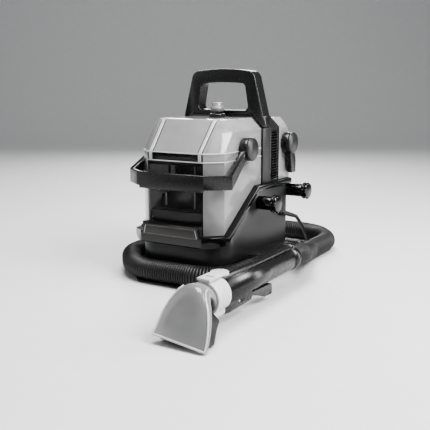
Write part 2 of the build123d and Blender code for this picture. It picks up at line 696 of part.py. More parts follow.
FILL_AT = (0.0, 82.0)
FILL_R = 17.0
CAP_HIGH = 7.0
with BuildPart() as rear_lid:
    add(rear_lid_outside)
    add(rear_lid_hollow, mode=Mode.SUBTRACT)
    add(rear_rod, mode=Mode.SUBTRACT)
    with Locations((*FILL_AT, TANK_TOP)):
        Hole(FILL_R - 4, 20)
rear_lid.part.label = "rear_lid"
export_step(rear_lid.part, "parts/rear_lid.step")

rear_frame = rim_seal(REAR_NEAR, REAR_FAR)
with BuildPart() as rear_seal:
    add(rear_frame)
rear_seal.part.label = "rear_seal"
export_step(rear_seal.part, "parts/rear_seal.step")

rear_pins = pivot_bosses(REAR_PIVOT_Y)
with BuildPart() as rear_pivots:
    add(rear_pins)
rear_pivots.part.label = "rear_pivots"
export_step(rear_pivots.part, "parts/rear_pivots.step")

with BuildPart() as fill_cap:
    with BuildSketch(Plane.XY.offset(REAR_TOP)):
        with Locations(FILL_AT):
            Circle(FILL_R)
    extrude(amount=CAP_HIGH)
    fillet(fill_cap.edges().group_by(Axis.Z)[-1], 1.5)
    with BuildSketch(Plane.XY.offset(REAR_TOP)):
        with Locations(FILL_AT):
            Circle(FILL_R - 4 - FIT)
    extrude(amount=-8)
    # finger grip notches round the rim
    with Locations((*FILL_AT, TANK_TOP + 2)):
        with PolarLocations(FILL_R + 0.6, 18):
            Cylinder(1.4, CAP_HIGH + 6, mode=Mode.SUBTRACT)
fill_cap.part.label = "fill_cap"
export_step(fill_cap.part, "parts/fill_cap.step")

VALVE_LOW = SEAT_REAR + GAP - 0.3
with BuildPart() as valve_plunger:
    with Locations((*VALVE_AT, VALVE_LOW + 11)):
        Cylinder(VALVE_R, 22)
    with Locations((*VALVE_AT, SEAT_REAR + GAP + WALL + 1.6)):
        Cylinder(VALVE_R + 5, 3)
    chamfer(valve_plunger.edges().group_by(Axis.Z)[-1], 1)
valve_plunger.part.label = "valve_plunger"
export_step(valve_plunger.part, "parts/valve_plunger.step")

SPRING_TOP = SEAT_REAR + 28.0
with BuildPart() as valve_bridge:
    # cage over the plunger that holds the spring's upper end
    with Locations((*VALVE_AT, SPRING_TOP + 1.5)):
        Cylinder(VALVE_R + 8, 3)
    with Locations((*VALVE_AT, (SEAT_REAR + GAP + WALL + SPRING_TOP + 3) / 2)):
        with PolarLocations(VALVE_R + 7, 3):
            Cylinder(1.8, SPRING_TOP + 3 - SEAT_REAR - GAP - WALL)
valve_bridge.part.label = "valve_bridge"
export_step(valve_bridge.part, "parts/valve_bridge.step")

valve_coil = coil(VALVE_R + 2.6, 0.6, SEAT_REAR + GAP + WALL + 3.2, SPRING_TOP - 0.1, 4)
with BuildPart() as valve_spring:
    with Locations((*VALVE_AT, 0)):
        add(valve_coil)
valve_spring.part.label = "valve_spring"
export_step(valve_spring.part, "parts/valve_spring.step")

REAR_BAND_CORNER = 104.0
REAR_BAND_BACK = 144.0
REAR_BAND_FACE = 60.0
REAR_BAND_LOW = 166.0
rear_hubs = bail_hubs(REAR_PIVOT_Y)
rear_bore = pivot_rod(REAR_PIVOT_Y, PIVOT_R + FIT)
with BuildPart() as rear_arm:
    # the arm drops nearly straight down from the hub to the band's corner
    with BuildSketch(Plane.YZ.offset(HUB_OUT - BAIL_THICK)):
        Polygon((REAR_PIVOT_Y - 8, PIVOT_Z), (REAR_PIVOT_Y + 9, PIVOT_Z),
                (REAR_BAND_CORNER, REAR_BAND_LOW + BAIL_DEEP), (REAR_BAND_CORNER, REAR_BAND_LOW),
                (REAR_PIVOT_Y + 3, REAR_BAND_LOW), align=None)
    extrude(amount=BAIL_THICK)
rear_band = bail_band(HUB_OUT, REAR_BAND_CORNER, REAR_BAND_BACK, REAR_BAND_FACE, REAR_BAND_LOW,
                      REAR_BAND_LOW + BAIL_DEEP)
with BuildPart() as rear_bail:
    add(rear_hubs)
    add(rear_arm.part)
    add(rear_arm.part.mirror(Plane.YZ))
    add(rear_bore, mode=Mode.SUBTRACT)
    add(rear_band)
rear_bail.part.label = "rear_bail"
export_step(rear_bail.part, "parts/rear_bail.step")

rear_caps = bail_caps(REAR_PIVOT_Y)
with BuildPart() as rear_hub_caps:
    add(rear_caps)
rear_hub_caps.part.label = "rear_hub_caps"
export_step(rear_hub_caps.part, "parts/rear_hub_caps.step")

# ---------------------------------------------------------------- cord hooks
with BuildPart() as hook_posts:
    with BuildSketch(Plane.YZ.offset(SHELL_HALF - 40)):
        with Locations(*HOOK_SPOTS):
            Circle(HOOK_R)
    extrude(amount=HOOK_TIP - SHELL_HALF + 40)
    add(casing_outside, mode=Mode.SUBTRACT)
    with BuildSketch(Plane.YZ.offset(HOOK_TIP)):
        with Locations(*HOOK_SPOTS):
            Circle(KNOB_PIN_R)
    extrude(amount=KNOB_PIN)
hook_posts.part.label = "hook_posts"
export_step(hook_posts.part, "parts/hook_posts.step")


def hook_knob(spot):
    """Turning end knob: two notched flanges with a groove between them."""
    with BuildPart() as knob:
        with BuildSketch(Plane.YZ.offset(HOOK_TIP + 0.2)):
            with Locations(spot):
                Circle(KNOB_R)
        extrude(amount=KNOB_LONG)
        chamfer(knob.edges().filter_by(GeomType.CIRCLE), 1.2)
        with Locations(Location((HOOK_TIP + 0.2 + KNOB_LONG / 2, *spot), (0, 90, 0))):
            Cylinder(KNOB_R + 4, 3, mode=Mode.SUBTRACT)
            Cylinder(KNOB_R - 3.5, 3.2)
            with PolarLocations(KNOB_R + 1.5, 8, start_angle=22.5):
                Cylinder(4, KNOB_LONG + 4, mode=Mode.SUBTRACT)
        with Locations(Location((HOOK_TIP, *spot), (0, 90, 0))):
            Cylinder(KNOB_PIN_R + FIT, 2 * (KNOB_PIN + 0.2), mode=Mode.SUBTRACT)
    return knob.part


front_knob = hook_knob(HOOK_SPOTS[0])
with BuildPart() as front_hook_knob:
    add(front_knob)
front_hook_knob.part.label = "front_hook_knob"
export_step(front_hook_knob.part, "parts/front_hook_knob.step")

rear_knob = hook_knob(HOOK_SPOTS[1])
with BuildPart() as rear_hook_knob:
    add(rear_knob)
rear_hook_knob.part.label = "rear_hook_knob"
export_step(rear_hook_knob.part, "parts/rear_hook_knob.step")

# ---------------------------------------------------------------- hose, cuff and cord
PORT_COVER_X = (PEDESTAL_HALF + 1.0, 125.0)
PORT_COVER_Y = (-66.0, 70.0)
PORT_COVER_TOP = 41.0
HOSE_PORT = (107.5, -84.0, HOSE_LIE)
with BuildPart() as hose_port:
    with BuildSketch(Plane.XZ.offset(-PORT_COVER_Y[1])):
        Polygon((PORT_COVER_X[0], TRAY_TOP), (PORT_COVER_X[1] + 2, TRAY_TOP), (PORT_COVER_X[1], 33),
                (PORT_COVER_X[1] - 9, PORT_COVER_TOP), (PORT_COVER_X[0], PORT_COVER_TOP + 2), align=None)
    extrude(amount=PORT_COVER_Y[1] - PORT_COVER_Y[0])
    # the outer wall draws in towards the rear, beside the returning hose
    with BuildSketch(Plane.XY):
        Polygon((PORT_COVER_X[1] + 5, -14), (PORT_COVER_X[1] + 5, 80), (102, 80), (PORT_COVER_X[1], -14),
                align=None)
    extrude(amount=80, mode=Mode.SUBTRACT)
    with BuildSketch(Plane.YZ.offset(PORT_COVER_X[0])):
        Polygon((PORT_COVER_Y[0] - 1, PORT_COVER_TOP - 5), (PORT_COVER_Y[0] + 8, PORT_COVER_TOP + 4),
                (PORT_COVER_Y[0] - 1, PORT_COVER_TOP + 4), align=None)
        Polygon((PORT_COVER_Y[1] - 26, PORT_COVER_TOP + 4), (PORT_COVER_Y[1] + 1, 18),
                (PORT_COVER_Y[1] + 1, PORT_COVER_TOP + 4), align=None)
    extrude(amount=60, mode=Mode.SUBTRACT)
    with BuildSketch(Plane.XZ.offset(-HOSE_PORT[1] - 6)):
        with Locations((HOSE_PORT[0], HOSE_PORT[2])):
            Circle(HOSE_BORE)
    extrude(amount=-60, mode=Mode.SUBTRACT)
    add(casing_outside, mode=Mode.SUBTRACT)
hose_port.part.label = "hose_port"
export_step(hose_port.part, "parts/hose_port.step")

CUFF_FRONT = HOSE_PORT[1] - 8
with BuildPart() as hose_cuff:
    with BuildSketch(Plane.XZ.offset(-PORT_COVER_Y[0])):
        with Locations((HOSE_PORT[0], HOSE_PORT[2])):
            Circle(HOSE_R - 1)
            Circle(HOSE_BORE, mode=Mode.SUBTRACT)
    extrude(amount=PORT_COVER_Y[0] - CUFF_FRONT)
    with BuildSketch(Plane.XZ.offset(-CUFF_FRONT - 4)):
        with Locations((HOSE_PORT[0], HOSE_PORT[2])):
            Circle(HOSE_R + 1.5)
            Circle(HOSE_BORE, mode=Mode.SUBTRACT)
    extrude(amount=8)
hose_cuff.part.label = "hose_cuff"
export_step(hose_cuff.part, "parts/hose_cuff.step")

LOOP_Z = HOSE_R + 0.1
HOSE_BENDS = (58, 58, 90, 90, 90, 90, 90, 90, 90, 90, 90, 90)      # bend radius at each inner point
# from the cuff round the front of the tray, in a wide loop behind the machine, then up to the grip
HOSE_POINTS = ((HOSE_PORT[0], CUFF_FRONT - 4.1, HOSE_PORT[2]), (HOSE_PORT[0], -148, HOSE_LIE),
               (74, -188, HOSE_LIE), (-72, -189, HOSE_LIE), (-134, -113, HOSE_LIE), (-152, -30, LOOP_Z),
               (-148, 130, LOOP_Z), (-80, 257, LOOP_Z), (78, 257, LOOP_Z), (130, 193, LOOP_Z),
               (132, 88, LOOP_Z), (150, 20, 28), (TOOL_X, -45, TOOL_Z - 1),
               (TOOL_X, CAP_REAR + 0.1, TOOL_Z - 1))
with BuildPart() as hose:
    with BuildLine() as hose_path:
        FilletPolyline(*HOSE_POINTS, radius=HOSE_BENDS)
    with BuildSketch(Plane(origin=hose_path.line @ 0, z_dir=hose_path.line % 0)):
        Circle(HOSE_R - 0.4)
    sweep(is_frenet=True)
hose.part.label = "hose"
export_step(hose.part, "parts/hose.step")

# power cord: a tapered boot at the casing, a drop inside the hose loop, a flat coil and a plug
BOOT_R = 4.8
BOOT_TIP_R = 3.9
CORD_EXIT = (SHELL_HALF + BOOT_R + 0.2, 55.0, 95.0)
BOOT_END = (SHELL_HALF + BOOT_R + 0.2, 104.0, 81.0)
BOOT_DIR = Vector(*BOOT_END) - Vector(*CORD_EXIT)
with BuildPart() as cord_boot:
    with Locations(Plane(origin=CORD_EXIT, z_dir=BOOT_DIR)):
        Cone(BOOT_R, BOOT_TIP_R, BOOT_DIR.length, align=(Align.CENTER, Align.CENTER, Align.MIN))
    # gland that joins the boot to the casing
    gland_at = (SHELL_HALF + BOOT_R / 2 + 0.1, CORD_EXIT[1] + 2, CORD_EXIT[2] - 1)
    with Locations(Location(gland_at, (0, 90, 0))):
        Cylinder(BOOT_R + 1, BOOT_R)
cord_boot.part.label = "cord_boot"
export_step(cord_boot.part, "parts/cord_boot.step")

COIL_MID = (30.0, 178.0)
COIL_HALF = (42.0, 34.0)
COIL_PITCH = 7.5
CORD_LIE = CORD_R + 0.2
CORD_BEND_R = 10.0


def on_boot_line(share):
    """A point on the line through the boot, at a share of its length from the casing."""
    return tuple(near + share * (far - near) for near, far in zip(CORD_EXIT, BOOT_END))


def coil_corner(step):
    """A corner of the flat rectangular coil, numbered from the outside inwards."""
    side_x, side_y = ((1, 1), (-1, 1), (-1, -1), (1, -1))[step % 4]
    drawn_in = COIL_PITCH * (step // 4)
    return (COIL_MID[0] + side_x * (COIL_HALF[0] - drawn_in),
            COIL_MID[1] + side_y * (COIL_HALF[1] - drawn_in), CORD_LIE)


CORD_POINTS = (on_boot_line(1.01), on_boot_line(1.3), (90, 150, 54), (86, 180, 28), (82, 200, CORD_LIE),
               *[coil_corner(step) for step in range(7)],
               (30, 158, CORD_LIE), (36, 176, 7), (20, 182, 12), (-34, 176, 12))
with BuildPart() as power_cord:
    with BuildLine() as cord_path:
        FilletPolyline(*CORD_POINTS, radius=CORD_BEND_R)
    with BuildSketch(Plane(origin=cord_path.line @ 0, z_dir=cord_path.line % 0)):
        Circle(CORD_R)
    sweep(is_frenet=True)
power_cord.part.label = "power_cord"
export_step(power_cord.part, "parts/power_cord.step")

PLUG_SIZE = (20.0, 14.0)
PLUG_PLANE = Plane(origin=cord_path.line @ 1, z_dir=cord_path.line % 1)
with BuildPart() as cord_plug:
    with BuildSketch(PLUG_PLANE.offset(0.1)):
        Circle(5.0)
    with BuildSketch(PLUG_PLANE.offset(14)):
        RectangleRounded(*PLUG_SIZE, 6)
    loft()
    with BuildSketch(PLUG_PLANE.offset(14)):
        RectangleRounded(*PLUG_SIZE, 6)
    extrude(amount=16)
    with BuildSketch(PLUG_PLANE.offset(30)):
        with GridLocations(12.7, 0, 2, 1):
            Rectangle(1.5, 6.3)
    extrude(amount=17)
cord_plug.part.label = "cord_plug"
export_step(cord_plug.part, "parts/cord_plug.step")

# ---------------------------------------------------------------- vacuum motor, fan and pump
MOTOR_LOW = PAN_TOP + 26.0
MOTOR_HIGH = MOTOR_LOW + 62.0
SHAFT_R = 4.0
BEARING_R = 11.0
FAN_R = 44.0
FAN_CASE_R = 54.0
with BuildPart() as fan_casing:
    # a shallow pan on the floor that encloses the fan wheel, with an air inlet below
    with BuildSketch(Plane.XY.offset(PAN_TOP)):
        with Locations((0, MOTOR_Y)):
            Circle(FAN_CASE_R)
    extrude(amount=MOTOR_LOW - PAN_TOP)
    with BuildSketch(Plane.XY.offset(PAN_TOP + WALL)):
        with Locations((0, MOTOR_Y)):
            Circle(FAN_CASE_R - WALL)
    extrude(amount=MOTOR_LOW - PAN_TOP - 2 * WALL, mode=Mode.SUBTRACT)
    with Locations((0, MOTOR_Y, MOTOR_LOW)):
        Hole(BEARING_R + 4, WALL + 2)
    # tangential outlet
    with Locations((-FAN_CASE_R + 16, MOTOR_Y - FAN_CASE_R - 4, (PAN_TOP + MOTOR_LOW) / 2)):
        Box(26, 36, MOTOR_LOW - PAN_TOP - 2 * WALL - 2, mode=Mode.SUBTRACT)
fan_casing.part.label = "fan_casing"
export_step(fan_casing.part, "parts/fan_casing.step")

with BuildPart() as vacuum_motor:
    with BuildSketch(Plane.XY.offset(MOTOR_LOW)):
        with Locations((0, MOTOR_Y)):
            Circle(MOTOR_R)
    extrude(amount=MOTOR_HIGH - MOTOR_LOW)
    chamfer(vacuum_motor.edges().group_by(Axis.Z)[-1], 5)
    with BuildSketch(Plane.XY.offset(MOTOR_LOW)):
        with Locations((0, MOTOR_Y)):
            with PolarLocations(MOTOR_R - 1, 12):
                Rectangle(8, 8)
    extrude(amount=MOTOR_HIGH - MOTOR_LOW - 16, mode=Mode.SUBTRACT)
    with Locations((0, MOTOR_Y, MOTOR_HIGH)):
        Hole(BEARING_R)
vacuum_motor.part.label = "vacuum_motor"
export_step(vacuum_motor.part, "parts/vacuum_motor.step")

BEARING_LONG = 8.0
with BuildPart() as motor_bearings:
    for low in (MOTOR_LOW + 1, MOTOR_HIGH - 2 - BEARING_LONG):
        with BuildSketch(Plane.XY.offset(low)):
            with Locations((0, MOTOR_Y)):
                Circle(BEARING_R)
                Circle(SHAFT_R + FIT, mode=Mode.SUBTRACT)
        extrude(amount=BEARING_LONG)
motor_bearings.part.label = "motor_bearings"
export_step(motor_bearings.part, "parts/motor_bearings.step")

FAN_LOW = PAN_TOP + WALL + 3.0
FAN_HIGH = MOTOR_LOW - WALL - 3.0
BLADES = 9
with BuildPart() as fan_rotor:
    with BuildSketch(Plane.XY.offset(FAN_LOW)):
        with Locations((0, MOTOR_Y)):
            Circle(SHAFT_R)
    extrude(amount=MOTOR_HIGH - 1 - FAN_LOW)
    with BuildSketch(Plane.XY.offset(FAN_HIGH - 2)):
        with Locations((0, MOTOR_Y)):
            Circle(FAN_R)
    extrude(amount=2)
    with BuildSketch(Plane.XY.offset(FAN_LOW)):
        with Locations((0, MOTOR_Y)):
            Circle(9)
            with PolarLocations(FAN_R / 2 + 4, BLADES):
                Rectangle(FAN_R - 10, 2, rotation=28)
    extrude(amount=FAN_HIGH - 2 - FAN_LOW)
fan_rotor.part.label = "fan_rotor"
export_step(fan_rotor.part, "parts/fan_rotor.step")

DUCT_R = 22.0
with BuildPart() as motor_seal:
    # rubber ring between the motor's top and the underside of the seat
    with BuildSketch(Plane.XY.offset(MOTOR_HIGH)):
        with Locations((0, MOTOR_Y)):
            Circle(MOTOR_R - 8)
            Circle(DUCT_R, mode=Mode.SUBTRACT)
    extrude(amount=SEAT_REAR - COLLAR_DEEP - WALL - MOTOR_HIGH - 0.1)
motor_seal.part.label = "motor_seal"
export_step(motor_seal.part, "parts/motor_seal.step")

PUMP_AT = (-46.0, -92.0)
with BuildPart() as water_pump:
    with BuildSketch(Plane.XY.offset(PAN_TOP)):
        with Locations(PUMP_AT):
            RectangleRounded(34, 60, 5)
    extrude(amount=30)
    fillet(water_pump.edges().group_by(Axis.Z)[-1], 3)
    with BuildSketch(Plane.XZ.offset(-PUMP_AT[1] + 30)):
        with Locations((PUMP_AT[0], PAN_TOP + 16)):
            Circle(6)
    extrude(amount=14)
water_pump.part.label = "water_pump"
export_step(water_pump.part, "parts/water_pump.step")

with BuildPart() as pump_pipe:
    # flexible pipe from under the water tank to the pump
    with BuildLine() as pipe_path:
        Spline((0, 88, SEAT_REAR - COLLAR_DEEP - WALL - 0.5), (-52, 96, 96), (-68, 20, 50),
               (PUMP_AT[0], PUMP_AT[1] + 30.1, PAN_TOP + 16), tangents=((0, 0, -1), (0, -1, 0)))
    for radius, mode in ((4, Mode.ADD), (2.5, Mode.SUBTRACT)):
        with BuildSketch(Plane(origin=pipe_path.line @ 0, z_dir=pipe_path.line % 0)):
            Circle(radius)
        sweep(path=pipe_path.line, is_frenet=True, mode=mode)
pump_pipe.part.label = "pump_pipe"
export_step(pump_pipe.part, "parts/pump_pipe.step")

with BuildPart() as circuit_board:
    with Locations((40, -96, PAN_TOP + 5)):
        Box(56, 70, 1.6)
    with Locations((40, -96, PAN_TOP + 2.1)):
        with GridLocations(46, 60, 2, 2):
            Cylinder(3, 4.2)
    with Locations((30, -110, PAN_TOP + 12.8), (52, -84, PAN_TOP + 12.8)):
        Box(18, 24, 14)
circuit_board.part.label = "circuit_board"
export_step(circuit_board.part, "parts/circuit_board.step")

# ---------------------------------------------------------------- hand tool
GRIP_BORE = 15.0
TRIGGER_Y = -281.0          # trigger pin
TRIGGER_Z = 28.0
TRIGGER_HALF = 7.0
TRIGGER_END = -170.0        # rear face of the finger block
CHEEK_END = TRIGGER_Y + 38.0
SLOT_LOW = 15.0             # the slot under the grip, between these heights
SLOT_HIGH = 33.0
with BuildPart() as grip_tube:
    with BuildSketch(Plane.XZ.offset(-GRIP_REAR)):
        with Locations((TOOL_X, TOOL_Z)):
            Circle(GRIP_R)
    extrude(amount=GRIP_REAR - GRIP_FRONT)
    # two cheeks under the front that carry the trigger and the spray valve
    with BuildSketch(Plane.YZ.offset(TOOL_X - TRIGGER_HALF - 4)):
        Polygon((GRIP_FRONT, TOOL_Z), (GRIP_FRONT, 20), (TRIGGER_Y - 26, 19), (CHEEK_END - 3, 21),
                (CHEEK_END, 24), (CHEEK_END, TOOL_Z - GRIP_R + 6), align=None)
    extrude(amount=2 * TRIGGER_HALF + 8)
    # air bore, and the slot where the trigger and valve sit
    with BuildSketch(Plane.XZ.offset(-GRIP_REAR)):
        with Locations((TOOL_X, TOOL_Z + 1)):
            Circle(GRIP_BORE)
    extrude(amount=GRIP_REAR - GRIP_FRONT, mode=Mode.SUBTRACT)
    slot_rear = TRIGGER_END + 10
    with Locations((TOOL_X, (GRIP_FRONT + 3 + slot_rear) / 2, (SLOT_LOW + SLOT_HIGH) / 2)):
        Box(2 * TRIGGER_HALF, slot_rear - GRIP_FRONT - 3, SLOT_HIGH - SLOT_LOW, mode=Mode.SUBTRACT)
    with Locations(Location((TOOL_X, TRIGGER_Y, TRIGGER_Z), (0, 90, 0))):
        Cylinder(2.0, 60, mode=Mode.SUBTRACT)
grip_tube.part.label = "grip_tube"
export_step(grip_tube.part, "parts/grip_tube.step")

STRIP_HALF = 9.0
STRIP_TOP = TOOL_Z + 24.5
with BuildPart() as strip_form:
    with BuildSketch(Plane.XZ.offset(-GRIP_REAR)):
        with Locations((TOOL_X, STRIP_TOP - 7)):
            RectangleRounded(2 * STRIP_HALF, 14, 5)
    extrude(amount=GRIP_REAR - GRIP_FRONT - 0.5)
with BuildPart() as tube_form:
    with BuildSketch(Plane.XZ.offset(-GRIP_REAR - 5)):
        with Locations((TOOL_X, TOOL_Z)):
            Circle(GRIP_R)
    extrude(amount=GRIP_REAR - GRIP_FRONT + 10)
with BuildPart() as grip_strip:
    add(strip_form.part)
    add(tube_form.part, mode=Mode.SUBTRACT)
grip_strip.part.label = "grip_strip"
export_step(grip_strip.part, "parts/grip_strip.step")

with BuildPart() as grip_end_cap:
    with BuildSketch(Plane.XZ.offset(-GRIP_REAR - 0.3)):
        with Locations((TOOL_X, TOOL_Z)):
            Circle(GRIP_R + 0.4)
        with Locations((TOOL_X, STRIP_TOP - 9)):
            RectangleRounded(2 * STRIP_HALF, 18, 5)
    extrude(amount=-(CAP_REAR - GRIP_REAR - 0.3))
    fillet(grip_end_cap.edges().group_by(Axis.Y)[-1], 5)
    with BuildSketch(Plane.XZ.offset(-GRIP_REAR)):
        with Locations((TOOL_X, TOOL_Z - 1)):
            Circle(HOSE_BORE - 1)
    extrude(amount=-60, mode=Mode.SUBTRACT)
grip_end_cap.part.label = "grip_end_cap"
export_step(grip_end_cap.part, "parts/grip_end_cap.step")

with BuildPart() as trigger:
    # blade from the pin back under the grip, ending in a deep finger block
    with BuildSketch(Plane.YZ.offset(TOOL_X - TRIGGER_HALF + 0.3)):
        with BuildLine():
            Polyline((TRIGGER_Y - 5, TRIGGER_Z + 2), (TRIGGER_Y - 2, TRIGGER_Z - 5.5), (CHEEK_END + 4, 23.5))
            ThreePointArc((CHEEK_END + 4, 23.5), (TRIGGER_END - 46, 18), (TRIGGER_END - 26, 11))
            Polyline((TRIGGER_END - 26, 11), (TRIGGER_END - 3, 9.5), (TRIGGER_END, 12), (TRIGGER_END, 24.5),
                     (TRIGGER_END - 2, 26.5), (TRIGGER_Y + 4, TRIGGER_Z + 2), (TRIGGER_Y - 5, TRIGGER_Z + 2))
        make_face()
        with Locations((TRIGGER_Y, TRIGGER_Z)):
            Circle(4.2)
            Circle(1.5 + FIT, mode=Mode.SUBTRACT)
    extrude(amount=2 * TRIGGER_HALF - 0.6)
trigger.part.label = "trigger"
export_step(trigger.part, "parts/trigger.step")

with BuildPart() as trigger_pin:
    with Locations(Location((TOOL_X, TRIGGER_Y, TRIGGER_Z), (0, 90, 0))):
        Cylinder(1.5, 2 * TRIGGER_HALF + 8)
        with Locations((0, 0, TRIGGER_HALF + 2), (0, 0, -TRIGGER_HALF - 2)):
            Cylinder(2.0, 3.9)
trigger_pin.part.label = "trigger_pin"
export_step(trigger_pin.part, "parts/trigger_pin.step")

with BuildPart() as spray_valve:
    with Locations((TOOL_X, (GRIP_FRONT + 4 + TRIGGER_Y - 7) / 2, 24.5)):
        Box(2 * TRIGGER_HALF - 0.2, TRIGGER_Y - 7 - GRIP_FRONT - 4, 9)
    fillet(spray_valve.edges().filter_by(Axis.Y), 2)
spray_valve.part.label = "spray_valve"
export_step(spray_valve.part, "parts/spray_valve.step")

# locking collar at the front of the grip, with its latch lobe on top
COLLAR_Y = (GRIP_FRONT - COLLAR_LONG, GRIP_FRONT)
COLLAR_R = 24.0
with BuildPart() as tool_collar:
    with BuildSketch(Plane.XZ.offset(-COLLAR_Y[1] + 0.2)):
        with Locations((TOOL_X, TOOL_Z)):
            Circle(COLLAR_R)
        with Locations((TOOL_X, TOOL_Z - 19)):
            RectangleRounded(26, 26, 8)
        with Locations((TOOL_X, TOOL_Z)):
            Circle(GRIP_R - 1, mode=Mode.SUBTRACT)
    extrude(amount=COLLAR_LONG - 0.4)
    fillet(tool_collar.edges().filter_by(GeomType.CIRCLE).filter_by(
        lambda e: abs(e.radius - COLLAR_R) < 0.01), 1.5)
tool_collar.part.label = "tool_collar"
export_step(tool_collar.part, "parts/tool_collar.step")

LATCH_REAR = -305.0
LATCH_FRONT = -361.0
LATCH_Z = STRIP_TOP + 0.3
with BuildPart() as tool_latch:
    # paddle with a round thumb lobe at its rear and a slot near its front
    with BuildSketch(Plane.XY.offset(LATCH_Z)):
        with Locations((TOOL_X, (LATCH_FRONT + COLLAR_Y[1]) / 2)):
            Rectangle(20, COLLAR_Y[1] - LATCH_FRONT)
        with Locations((TOOL_X, LATCH_REAR - 13)):
            Circle(13)
        with Locations((TOOL_X, LATCH_FRONT + 16)):
            SlotOverall(16, 5, rotation=0, mode=Mode.SUBTRACT)
    extrude(amount=4)
    chamfer(tool_latch.edges().group_by(Axis.Z)[-1], 0.6)
tool_latch.part.label = "tool_latch"
export_step(tool_latch.part, "parts/tool_latch.step")

# clear nozzle: round neck, hump, then a flared fan down to the mouth
NOZZLE_STATIONS = (          # centre Y and Z, lean of the section, width, depth
    (-360, TOOL_Z, 0, 41, 41),
    (-368, TOOL_Z + 9, 22, 39, 38),
    (-380, TOOL_Z + 13, 48, 38, 31),
    (-392, TOOL_Z - 1, 68, 50, 21),
    (-406, 24, 75, 2 * MOUTH_HALF - 14, 14),
    (MOUTH_Y, 1.5, 76, 2 * MOUTH_HALF, 10))


def nozzle_form(inset, front_shift, rear_shift):
    """Loft through the nozzle's sections, each drawn in by a distance."""
    with BuildPart() as form:
        last = len(NOZZLE_STATIONS) - 1
        for index, (y, z, lean, wide, deep) in enumerate(NOZZLE_STATIONS):
            shift = front_shift if index == last else rear_shift if index == 0 else 0
            along = Vector(0, -cos(radians(lean)), -sin(radians(lean)))
            middle = Vector(TOOL_X, y, z) + along * shift
            with BuildSketch(Plane(origin=middle, x_dir=(1, 0, 0), z_dir=along)):
                RectangleRounded(wide - 2 * inset, deep - 2 * inset, 0.42 * (deep - 2 * inset))
        loft(ruled=True)
    return form.part


nozzle_outside = nozzle_form(0, 0, 0)
nozzle_inside = nozzle_form(2.2, 2, -2)
with BuildPart() as fan_nozzle:
    add(nozzle_outside)
    add(nozzle_inside, mode=Mode.SUBTRACT)
    with Locations((TOOL_X, MOUTH_Y, -25)):
        Box(150, 100, 50, mode=Mode.SUBTRACT)
fan_nozzle.part.label = "fan_nozzle"
export_step(fan_nozzle.part, "parts/fan_nozzle.step")

# dark shroud in the hollow behind the fan, flaring with it from the collar down to the mouth
SHROUD_REAR = GRIP_FRONT - COLLAR_LONG + 0.1
with BuildPart() as nozzle_shroud:
    with BuildSketch(Plane.YZ.offset(TOOL_X - MOUTH_HALF)):
        with BuildLine():
            Polyline((SHROUD_REAR, 23), (SHROUD_REAR, 26), (-364, 35), (-372, 43), (-380, 41), (-397, 20.5),
                     (-410.5, 4), (-409.5, 3), (-391, 3))
            ThreePointArc((-391, 3), (-375, 14), (SHROUD_REAR, 23))
        make_face()
    extrude(amount=2 * MOUTH_HALF)
    with BuildSketch(Plane.XZ.offset(-SHROUD_REAR - 5)):
        with Locations((TOOL_X, 0)):
            Polygon((-13, 56), (-17, 36), (-37, 2), (37, 2), (17, 36), (13, 56), align=None)
    extrude(amount=90, mode=Mode.INTERSECT)
nozzle_shroud.part.label = "nozzle_shroud"
export_step(nozzle_shroud.part, "parts/nozzle_shroud.step")
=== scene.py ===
import json
from math import cos, pi, radians, sin, tan

import bmesh
import bpy
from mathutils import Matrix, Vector


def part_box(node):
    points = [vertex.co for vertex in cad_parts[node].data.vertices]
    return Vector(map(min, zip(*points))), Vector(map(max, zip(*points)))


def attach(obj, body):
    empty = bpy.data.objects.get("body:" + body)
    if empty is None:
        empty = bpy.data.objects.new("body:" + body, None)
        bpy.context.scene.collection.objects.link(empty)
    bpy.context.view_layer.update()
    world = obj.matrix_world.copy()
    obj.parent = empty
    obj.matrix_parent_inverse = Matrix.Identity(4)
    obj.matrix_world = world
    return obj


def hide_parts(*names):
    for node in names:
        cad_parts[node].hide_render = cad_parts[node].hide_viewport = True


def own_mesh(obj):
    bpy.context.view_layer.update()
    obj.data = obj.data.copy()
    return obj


# A portable spot extractor: clear tanks on a charcoal body, a corrugated hose and a hand tool.
# Metres, in the frame of the CAD model: +X the machine's right, -Y its front, +Z up.

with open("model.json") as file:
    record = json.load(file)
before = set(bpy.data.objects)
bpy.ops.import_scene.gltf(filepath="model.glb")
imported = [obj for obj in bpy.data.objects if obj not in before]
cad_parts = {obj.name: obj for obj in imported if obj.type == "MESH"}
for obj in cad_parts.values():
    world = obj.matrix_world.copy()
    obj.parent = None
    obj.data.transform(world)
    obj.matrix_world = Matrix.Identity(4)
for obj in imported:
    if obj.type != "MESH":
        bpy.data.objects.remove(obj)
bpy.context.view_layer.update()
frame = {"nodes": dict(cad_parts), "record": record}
nodes = frame["nodes"]

MM = 0.001


# ---------------------------------------------------------------- materials
NOISE_MIDDLE = (0.3, 0.7)       # the range that holds most of a noise texture's values
GRAIN_SCALE = 2600.0
FORWARD_SHARE = (0.95, 0.99)    # how squarely a face looks forward as a window starts and is full
WHITE = (1.0, 1.0, 1.0)


def new_material(name):
    """An empty node material; returns it with its tree."""
    material = bpy.data.materials.new(name)
    material.use_nodes = True
    material.node_tree.nodes.clear()
    return material, material.node_tree


def add_node(tree, kind, **values):
    """A shader node with its inputs set by name."""
    node = tree.nodes.new(kind)
    for key, value in values.items():
        node.inputs[key.replace("_", " ")].default_value = value
    return node


def noise(tree, scale, detail=3.0):
    """Noise in object space, so that its scale is in the part's own metres."""
    where = tree.nodes.new("ShaderNodeTexCoord")
    texture = add_node(tree, "ShaderNodeTexNoise", Scale=scale, Detail=detail)
    tree.links.new(where.outputs["Object"], texture.inputs["Vector"])
    return texture.outputs["Fac"]


